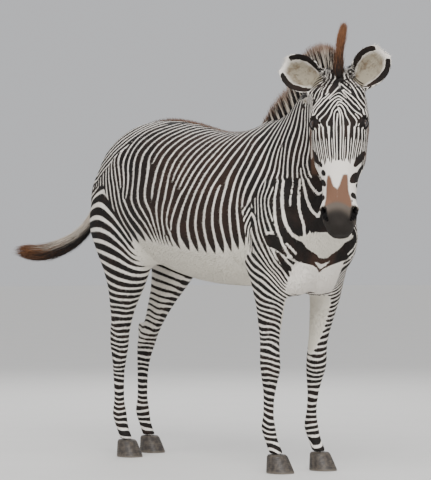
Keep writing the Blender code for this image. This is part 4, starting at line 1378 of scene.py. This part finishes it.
def lockPiece(name, centres, across, outward, width, thickness, layers, uvs, material, slotName, *replaced):
    # closed tapered locks in one piece, whose centres run from root to tip
    count, steps = centres.shape[0], centres.shape[1] - 1
    rings = np.arange(steps) / steps
    taper = (1 - rings ** 1.6) * np.minimum(1, 0.7 + rings)
    wide = across[:, None, :] * (width[:, None] * taper)[:, :, None]
    thick = outward[:, None, :] * (thickness[:, None] * taper)[:, :, None]
    middle = centres[:, :-1]
    corners = np.stack([middle - wide, middle + wide, middle + thick], axis=2).reshape(count, steps * 3, 3)
    points = np.concatenate([corners, centres[:, -1:]], axis=1)
    each = steps * 3 + 1
    faces = [(0, 2, 1)]
    for ring in range(steps - 1):
        for first, second in ((0, 1), (1, 2), (2, 0)):
            low, high = ring * 3, ring * 3 + 3
            faces.append((low + first, low + second, high + second))
            faces.append((low + first, high + second, high + first))
    last = (steps - 1) * 3
    faces += [(last + first, last + second, each - 1) for first, second in ((0, 1), (1, 2), (2, 0))]
    faces = np.array(faces)
    flip = np.einsum("ij,ij->i", np.cross(across, outward), centres[:, -1] - centres[:, 0]) < 0
    whole = faces[None] + (np.arange(count) * each)[:, None, None]
    whole[flip] = whole[flip][:, :, ::-1]
    mesh = bpy.data.meshes.new(name)
    flat = whole.reshape(-1, 3)
    mesh.vertices.add(count * each)
    mesh.vertices.foreach_set("co", points.ravel())
    mesh.loops.add(len(flat) * 3)
    mesh.loops.foreach_set("vertex_index", flat.ravel())
    mesh.polygons.add(len(flat))
    mesh.polygons.foreach_set("loop_start", np.arange(len(flat)) * 3)
    mesh.update(calc_edges=True)
    for layerName, values in layers.items():
        values = values if values.ndim == 3 else np.repeat(values[:, None], each, axis=1)
        storeVector(mesh, layerName, values.reshape(-1, 3))
    local = np.zeros((each, 2))
    for ring in range(steps):
        local[ring * 3:ring * 3 + 2, 0] = (-patch["half"], patch["half"])
        local[ring * 3:ring * 3 + 3, 1] = (ring / steps - 0.5) * patch["long"]
    local[-1] = (0, patch["long"] / 2)
    patches = (uvs[:, None] + local[None]).reshape(-1, 2)
    layer = mesh.uv_layers.new(name="OFBake")
    layer.data.foreach_set("uv", patches[flat.ravel()].ravel())
    mesh.shade_smooth()
    return addPiece(name, mesh, material, slotName, *replaced)


def blended(values, chosen, shares):
    # values of the skin's points at places inside its triangles
    corners = values[skinCorners[chosen]]
    return (corners * (shares if values.ndim == 1 else shares[:, :, None])).sum(axis=1)


def scattered(rng, count, weights):
    # places on the skin, more where a triangle's weight is higher
    sides = skinPoints[skinCorners]
    area = np.linalg.norm(np.cross(sides[:, 1] - sides[:, 0], sides[:, 2] - sides[:, 0]), axis=1)
    total = np.cumsum(area * weights)
    chosen = np.searchsorted(total, (np.arange(count) + rng.random(count)) / count * total[-1])
    shares = np.sqrt(rng.random(count))
    other = rng.random(count)
    shares = np.stack([1 - shares, shares * (1 - other), shares * other], axis=1)
    return np.minimum(chosen, len(total) - 1), shares


# The way the coat lies: forward, left, up
lieWays = {
    "back": (-1.0, 0.0, -0.25),
    "neck": (-0.75, -0.15, -0.70),
    "rump": (-0.45, 0.0, -1.0),
    "leg": (-0.18, 0.0, -1.0),
}


def lieOfCoat(points, normals):
    # the way the coat lies at each place
    forward, left, up = toBody(points).T
    head = toHead(points)
    onHead = onHeadShare(head)[:, None]
    legs = np.maximum(smoothStep(forward, -0.15, -0.30), smoothStep(forward, 0.38, 0.47))
    lie = np.array(lieWays["back"])
    parts = {
        "neck": smoothStep(forward, 0.40, 0.60),
        "rump": smoothStep(forward, -0.22, -0.42),
        "leg": smoothStep(up, 0.95, 0.78) * legs,
    }
    for name, share in parts.items():
        lie = lie * (1 - share)[:, None] + np.array(lieWays[name]) * share[:, None]
    world = np.stack([lie[:, 1], -lie[:, 0], lie[:, 2]], axis=1)
    face = headFrame[0] - 0.35 * headFrame[1] * smoothStep(-head[:, 1], 0.06, 0.14)[:, None]
    world = world * (1 - onHead) + face * onHead
    for side in ("left", "right"):
        root, axes = earFrame(side)
        place = (points - root) @ axes.T
        near = (place[:, 0] > 0.0) & nearEar(place)
        share = (smoothStep(place[:, 0], 0.0, 0.03) * near)[:, None]
        world = world * (1 - share) + axes[0] * share
    flat = world - normals * (world * normals).sum(axis=1, keepdims=True)
    return unit(flat)


# The coat's pieces: how many tufts, their length and width, and how far they lift from the skin
coatPieces = {
    "coat_head": {"seed": 11, "count": 42000, "length": 0.0085, "width": 0.0016, "lift": 0.07},
    "coat_front": {"seed": 12, "count": 48000, "length": 0.0140, "width": 0.0030, "lift": 0.055},
    "coat_middle": {"seed": 13, "count": 44000, "length": 0.0155, "width": 0.0032, "lift": 0.05},
    "coat_rear": {"seed": 14, "count": 48000, "length": 0.0140, "width": 0.0030, "lift": 0.055},
}


def tinyTufts(name, weights):
    # one piece of the coat: short tufts that lie along the skin
    count, length, width, lift = (coatPieces[name][key] for key in ("count", "length", "width", "lift"))
    rng = np.random.default_rng(coatPieces[name]["seed"])
    chosen, shares = scattered(rng, count, weights)
    roots = blended(skinPoints, chosen, shares)
    normals = unit(blended(skinNormals, chosen, shares))
    lie = lieOfCoat(roots, normals)
    turned = unit(lie + np.cross(normals, lie) * rng.normal(0, 0.16, (count, 1)))
    place = toHead(roots)
    head = onHeadShare(place)
    small = smoothStep(place[:, 0], 0.10, 0.55) * head
    # the hair of the poll stands up between the ears
    stands = smoothStep(place[:, 0], 0.045, 0.0) * smoothStep(np.abs(place[:, 2]), 0.085, 0.055) * head
    stands = stands * smoothStep(-place[:, 1], 0.13, 0.10)
    low = smoothStep(roots[:, 2], 0.55, 0.15)
    size = (1 - 0.35 * small) * (1 - 0.30 * low) * (1 + 1.4 * stands) * rng.uniform(0.75, 1.2, count)
    turned = unit(turned * (1 - 1.6 * stands)[:, None])
    way = unit(turned + normals * (lift * rng.uniform(0.5, 1.5, count) + 1.5 * stands)[:, None])
    centres = np.stack([roots - normals * 0.0004, roots + way * (length * size)[:, None]], axis=1)
    places = roots + (way * (length * size * 0.4)[:, None]) * (1 - stands)[:, None]
    layers = layersAt(places, normals, bodyMarks(places), blended(hoopWhite, chosen, shares))
    uvs = (skinCornerUv[chosen] * shares[:, :, None]).sum(axis=1)
    thickness = 0.13 * width * size + 0.0001
    lockPiece(name, centres, np.cross(normals, turned), normals, width * size * 0.5, thickness, layers, uvs,
              coat, "coat")


def coatShares():
    # how densely each piece of the coat covers each triangle of the skin
    middles = skinPoints[skinCorners].mean(axis=1)
    forward = toBody(middles)[:, 0]
    onHead = onHeadShare(toHead(middles)) > 0.5
    inEar = skinLayers["turns"][skinCorners, 2].mean(axis=1) > 0.4
    muzzle = 1 + 1.2 * smoothStep(toHead(middles)[:, 0], 0.30, 0.55)
    front = ~onHead & (forward > 0.30)
    middle = ~onHead & (forward <= 0.30) & (forward > -0.22)
    return (onHead & ~inEar) * muzzle, front, middle, ~onHead & ~front & ~middle


for name, weights in zip(coatPieces, coatShares()):
    tinyTufts(name, weights)
print("coat made")

# Mane, forelock, fringe and tail share one material
hairColours = {
    "dark": (0.010, 0.007, 0.006, 1),
    "pale": (0.62, 0.56, 0.48, 1),
    "brown": (0.20, 0.085, 0.036, 1),
    "darker": (0.72, 0.72, 0.72, 1),
    "lighter": (1.25, 1.2, 1.15, 1),
}
hairFinish = {"roughness": 0.55, "gloss": 0.3}


def hairMaterial():
    material, start, shader = newMaterial("hair")
    pale, brown, chance = attribute(start, "hair").split()
    colour = pale.mix(hairColours["dark"], hairColours["pale"])
    colour = brown.mix(colour, hairColours["brown"])
    # each lock is a little darker or lighter than its neighbours
    shade = chance.mix(hairColours["darker"], hairColours["lighter"])
    settings = {"data_type": "RGBA", "blend_type": "MULTIPLY"}
    colour = start.node("ShaderNodeMix", settings, {0: 1.0, 6: colour, 7: shade}, 2)
    feed(colour, shader, "Base Color")
    shader.inputs["Roughness"].default_value = hairFinish["roughness"]
    shader.inputs["Specular IOR Level"].default_value = hairFinish["gloss"]
    return material


hair = hairMaterial()


def whiteAt(points):
    # how white the skin's hoops are nearest to each place
    tree = KDTree(len(skinPoints))
    for index, point in enumerate(skinPoints):
        tree.insert(point, index)
    tree.balance()
    index = np.array([tree.find(Vector(p))[1] for p in points])
    phases, turns = (skinLayers[key][index] for key in ("phases", "turns"))
    angle = phases[:, 0] * 2 * math.pi
    waves = np.cos(angle) * turns[:, 0] + np.sin(angle) * turns[:, 1]
    return smoothStep(waves, 0.0, 0.5)


toWorld = np.array([[0, -1, 0], [1, 0, 0], [0, 0, 1.0]])  # turns a direction from the body's axes

# Feet of the mane and fringe, in metres: forward, left, up, height, half-thickness, lean back
crestRows = {
    "mane": ((0.360, 0.000, 1.395, 0.030, 0.016, 0.20), (0.430, 0.000, 1.420, 0.072, 0.022, 0.26),
             (0.510, -0.012, 1.432, 0.112, 0.024, 0.34), (0.610, -0.045, 1.462, 0.128, 0.024, 0.40),
             (0.700, -0.085, 1.518, 0.125, 0.024, 0.42), (0.790, -0.125, 1.575, 0.125, 0.023, 0.40),
             (0.870, -0.150, 1.605, 0.118, 0.022, 0.25), (0.935, -0.162, 1.608, 0.105, 0.020, 0.05)),
    "dorsal_fringe": ((-0.500, 0.000, 1.400, 0.008, 0.008, 0.9), (-0.430, 0.000, 1.428, 0.016, 0.014, 0.9),
                      (-0.340, 0.000, 1.448, 0.028, 0.017, 0.9), (-0.200, 0.000, 1.446, 0.038, 0.018, 0.9),
                      (-0.050, 0.000, 1.424, 0.034, 0.018, 0.9), (0.100, 0.000, 1.388, 0.030, 0.017, 0.9),
                      (0.240, 0.000, 1.380, 0.026, 0.016, 0.9), (0.350, 0.000, 1.392, 0.024, 0.016, 0.9)),
}
crestPlans = {
    "mane": {"seed": 21, "count": 7500, "width": 0.0017, "steps": 3},
    "dorsal_fringe": {"seed": 22, "count": 5200, "width": 0.0012, "steps": 2},
}


def rowsBetween(rows, at):
    # the rows at places between whole numbers, and the whole numbers below them
    low = at.astype(int)
    share = (at - low)[..., None]
    return rows[low] * (1 - share) + rows[low + 1] * share, low


def lockParts(steps):
    # the ring of each of a lock's points
    parts = np.minimum(np.repeat(np.arange(steps + 1), 3)[:steps * 3 + 1], steps)
    parts[-1] = steps
    return parts


def spreadOver(values, parts):
    # each lock's value at all of its points
    return np.repeat(values[:, None], len(parts), axis=1)


def hairPiece(name, world, across, outward, width, layer, uvs):
    count = len(world)
    lockPiece(name + "_hair", world, across, outward, np.full(count, width), np.full(count, width * 0.6),
              {"hair": layer}, uvs, hair, "mane", name)


def crestHair(name, seed, count, width, steps):
    # locks that stand along the mane's or the fringe's feet
    rng = np.random.default_rng(seed)
    rows = curveThrough(crestRows[name], 200)
    at = np.clip((np.arange(count) + rng.random(count)) / count * 199, 0, 198.99)
    row, low = rowsBetween(rows, at)
    along = np.gradient(rows[:, :2], axis=0)[low]
    along = unit(np.hstack([along, np.zeros((count, 1))]))
    aside = np.stack([-along[:, 1], along[:, 0], np.zeros(count)], axis=1)
    side = rng.uniform(-1, 1, count)
    side = np.sign(side) * np.abs(side) ** 0.7
    rise = unit(np.array((0, 0, 1.0)) - along * row[:, 5:6])
    foot = row[:, :3] + aside * (row[:, 4] * side * 0.9)[:, None] - rise * 0.016
    length = (row[:, 3] + 0.016) * (1 - 0.10 * side ** 2) * rng.uniform(0.80, 1.03, count)
    splay = aside * (side * 0.10 + rng.normal(0, 0.07, count))[:, None]
    splay = splay + along * rng.normal(0, 0.08, (count, 1))
    way = unit(rise + splay)
    t = np.linspace(0, 1, steps + 1)[None, :, None]
    sag = (-along * 0.05 + aside * rng.normal(0, 0.05, (count, 1)))[:, None, :]
    centres = foot[:, None] + (way[:, None] * t + sag * t * t) * length[:, None, None]
    world = fromBody(centres.reshape(-1, 3)).reshape(centres.shape)
    turn = rng.uniform(0, fullTurn, count)
    flatWay = along * np.cos(turn)[:, None] + aside * np.sin(turn)[:, None]
    across = unit(flatWay) @ toWorld
    outward = unit(np.cross(across, way @ toWorld))
    parts = lockParts(steps) / steps
    chance = spreadOver(rng.random(count), parts)
    if name == "mane":
        pale = spreadOver(whiteAt(world[:, 0]), parts)
        brown = smoothStep(parts[None] + rng.normal(0, 0.08, (count, 1)), 0.62, 0.95) * 0.85
    else:
        dark = smoothStep(row[:, 0], -0.15, -0.33) * 0.45
        brown = np.clip(0.85 - dark + rng.normal(0, 0.12, count), 0, 1)
        brown = brown[:, None] * (0.45 + 0.55 * parts[None])
        pale = np.full_like(brown, 0.10)
    uvs = np.stack([at / 199 * 0.9 + 0.05, side * 0.4 + 0.5], axis=1)
    hairPiece(name, world, across, outward, width, np.stack([pale, brown, chance], axis=2), uvs)


for name, plan in crestPlans.items():
    crestHair(name, **plan)
print("mane made")

# Middle lines of the forelock and the tail: forward, left, up, half-width, half-thickness
bundles = {
    "forelock": ((972, -160, 1560, 16, 16), (978, -163, 1598, 24, 20), (983, -165, 1640, 18, 16),
                 (988, -166, 1680, 13, 12), (994, -165, 1715, 18, 15), (1001, -163, 1748, 15, 12),
                 (1004, -160, 1772, 8, 7), (1006, -158, 1786, 3, 3)),
    "tail_tuft": ((-740, -30, 1120, 19, 20), (-740, -50, 1075, 20, 21), (-745, -80, 1018, 23, 24),
                  (-760, -112, 972, 27, 30), (-794, -157, 930, 31, 37), (-850, -212, 896, 31, 39),
                  (-902, -252, 888, 29, 38), (-948, -288, 893, 23, 31), (-990, -321, 902, 10, 13)),
}
# The last place where a lock starts and how long the locks are, as shares of the bundle's line
bundlePlans = {
    "forelock": {"seed": 31, "count": 2200, "width": 0.0013, "steps": 4, "latest": 0.62,
                 "shortest": 0.18, "longest": 0.50},
    "tail_tuft": {"seed": 32, "count": 4200, "width": 0.0014, "steps": 4, "latest": 0.80,
                  "shortest": 0.22, "longest": 0.42},
}


def bundleHair(name, seed, count, width, steps, latest, shortest, longest):
    # locks that start along the first part of a bundle's line and follow it
    rng = np.random.default_rng(seed)
    rows = curveThrough(metres(bundles[name]), 240)
    begin = rng.random(count) ** 1.2 * latest
    end = np.minimum(begin + rng.uniform(shortest, longest, count), rng.uniform(0.84, 1.0, count))
    t = begin[:, None] + (end - begin)[:, None] * np.linspace(0, 1, steps + 1)[None]
    row, low = rowsBetween(rows, np.clip(t * 239, 0, 238.99))
    along = unit(np.gradient(rows[:, :3], axis=0))[low]
    level = np.array((0, 0, 1.0)) if name == "tail_tuft" else np.array((1.0, 0, 0))
    thick = unit(level - along * (along @ level)[:, :, None])
    wide = np.cross(along, thick)
    turn = rng.uniform(0, fullTurn, count)
    deep = rng.uniform(0.35, 1.0, count) ** 0.5
    spread = np.linspace(0.8, 1.0, steps + 1)[None] * deep[:, None]
    wander = rng.normal(0, 0.0060, (count, 1, 3)) * np.linspace(0, 1, steps + 1)[None, :, None] ** 2
    offset = wide * (row[:, :, 3] * spread * np.cos(turn)[:, None])[:, :, None]
    offset = offset + thick * (row[:, :, 4] * spread * np.sin(turn)[:, None])[:, :, None]
    centres = row[:, :, :3] + offset + wander
    world = fromBody(centres.reshape(-1, 3)).reshape(centres.shape)
    outward = unit(offset[:, 0]) @ toWorld
    across = unit(np.cross(along[:, 0] @ toWorld, outward))
    parts = lockParts(steps)
    reached = t[:, parts]
    chance = spreadOver(rng.random(count), parts)
    high = spreadOver(np.sin(turn), parts)
    jitter = rng.normal(0, 0.12, (count, 1))
    if name == "tail_tuft":
        pale = smoothStep(high + jitter * 2, -0.15, 0.30) * smoothStep(reached + jitter, 0.80, 0.50)
        brown = smoothStep(reached + jitter, 0.60, 0.84) * (0.55 + 0.45 * smoothStep(high, -0.8, 0.2))
    else:
        pale = smoothStep(reached, 0.72, 0.98) * (chance > 0.55) * 0.6
        brown = smoothStep(reached + 0.9 * jitter + 0.15 * np.abs(np.cos(turn))[:, None], 0.22, 0.62) * 0.95
        brown = brown * (1 - 0.6 * pale)
    uvs = np.stack([begin * 0.9 + 0.05, turn / fullTurn * 0.9 + 0.05], axis=1)
    hairPiece(name, world, across, outward, width, np.stack([pale, brown, chance], axis=2), uvs)


for name, plan in bundlePlans.items():
    bundleHair(name, **plan)
print("forelock and tail made")

eyeLooks = {
    "pupil": (0.002, 0.002, 0.003, 1),
    "iris": (0.038, 0.017, 0.008, 1),
    "irisEdge": (0.010, 0.006, 0.005, 1),
    "white": (0.050, 0.030, 0.022, 1),
    "finish": {"Roughness": 0.06, "Coat Weight": 1.0, "Coat Roughness": 0.02},
}


def eyeMaterial():
    material, start, shader = newMaterial("eye")
    long, high = attribute(start, "look").split()[:2]
    # the pupil is an oval 16 mm long and 7.6 mm high, and the rest goes by the distance from the middle
    oval = (long * long / 0.000064 + high * high / 0.0000144) ** 0.5
    ring = (long * long + high * high) ** 0.5
    colour = ring.ramp(0.0085, 0.0130).mix(eyeLooks["iris"], eyeLooks["irisEdge"])
    colour = ring.ramp(0.0180, 0.0215).mix(colour, eyeLooks["white"])
    feed(oval.ramp(0.85, 1.1).mix(eyeLooks["pupil"], colour), shader, "Base Color")
    for name, value in eyeLooks["finish"].items():
        shader.inputs[name].default_value = value
    return material


def makeEye(side, name, material):
    bm = bmesh.new()
    bmesh.ops.create_uvsphere(bm, u_segments=56, v_segments=36, radius=eyePlan["ball"])
    mesh = meshOf(bm, name)
    axis, long, rise = eyeFrame(side)
    local = readPoints(mesh)
    swell = smoothStep(local[:, 2], 0.0175, eyePlan["ball"])
    local = local * (1 + 0.045 * swell)[:, None]
    turned = np.array([long, rise, axis])
    mesh.vertices.foreach_set("co", (local @ turned + eyeMiddle(side)).ravel())
    if np.linalg.det(turned) < 0:
        mesh.flip_normals()
    storeVector(mesh, "look", local)
    mesh.shade_smooth()
    addPiece(name.replace("eye", "eyeball"), mesh, material, "eye", name)


eyeLook = eyeMaterial()
makeEye(1, "eye_left", eyeLook)
makeEye(-1, "eye_right", eyeLook)
print("eyes made")

hoofPlan = {
    "bevel": 0.0022,
    "ringGap": 0.0075,
    "dark": (0.028, 0.022, 0.018, 1),
    "light": (0.085, 0.068, 0.052, 1),
    "worn": (0.13, 0.11, 0.088, 1),
}


def hoofMaterial():
    material, start, shader = newMaterial("hoof")
    place = objectPlace(start)
    up = place.split()[2]
    rings = (up * (fullTurn / hoofPlan["ringGap"]) + noiseWire(start, place, 12.0) * 3.0).sine()
    streaks = noiseWire(start, place, 60.0, 4.0)
    colour = streaks.ramp(0.35, 0.70).mix(hoofPlan["dark"], hoofPlan["light"])
    colour = up.ramp(0.012, 0.002).mix(colour, hoofPlan["worn"])
    feed(colour, shader, "Base Color")
    feed((rings * 0.5 + streaks).ramp(-0.5, 1.5) * 0.35 + 0.35, shader, "Roughness")
    feed(bumpWire(start, rings * 0.5 + streaks, 0.35, 0.0012), shader, "Normal")
    return material


def makeHoof(name, material):
    bm = weldedNode(name)
    sharp = [e for e in bm.edges if len(e.link_faces) == 2 and e.calc_face_angle() > 0.7]
    bmesh.ops.bevel(bm, geom=sharp, offset=hoofPlan["bevel"], segments=3, profile=0.5, affect="EDGES")
    mesh = meshOf(bm, "hoof")
    mesh.shade_smooth()
    addPiece(name + "_horn", mesh, material, "hoof", name)


hoofLook = hoofMaterial()
for end in ("fore", "hind"):
    for side in ("left", "right"):
        makeHoof(f"hoof_{end}_{side}", hoofLook)
print("hooves made")

floorPlan = {"size": 40, "first": (0.62, 0.61, 0.59, 1), "second": (0.66, 0.65, 0.63, 1), "roughness": 0.8}


def makeFloor():
    bm = bmesh.new()
    bmesh.ops.create_grid(bm, x_segments=1, y_segments=1, size=floorPlan["size"])
    mesh = meshOf(bm, "floor")
    material, start, shader = newMaterial("floor")
    grain = noiseWire(start, objectPlace(start), 3.0)
    feed(grain.mix(floorPlan["first"], floorPlan["second"]), shader, "Base Color")
    shader.inputs["Roughness"].default_value = floorPlan["roughness"]
    mesh.materials.append(material)
    placed("floor", mesh)


makeFloor()
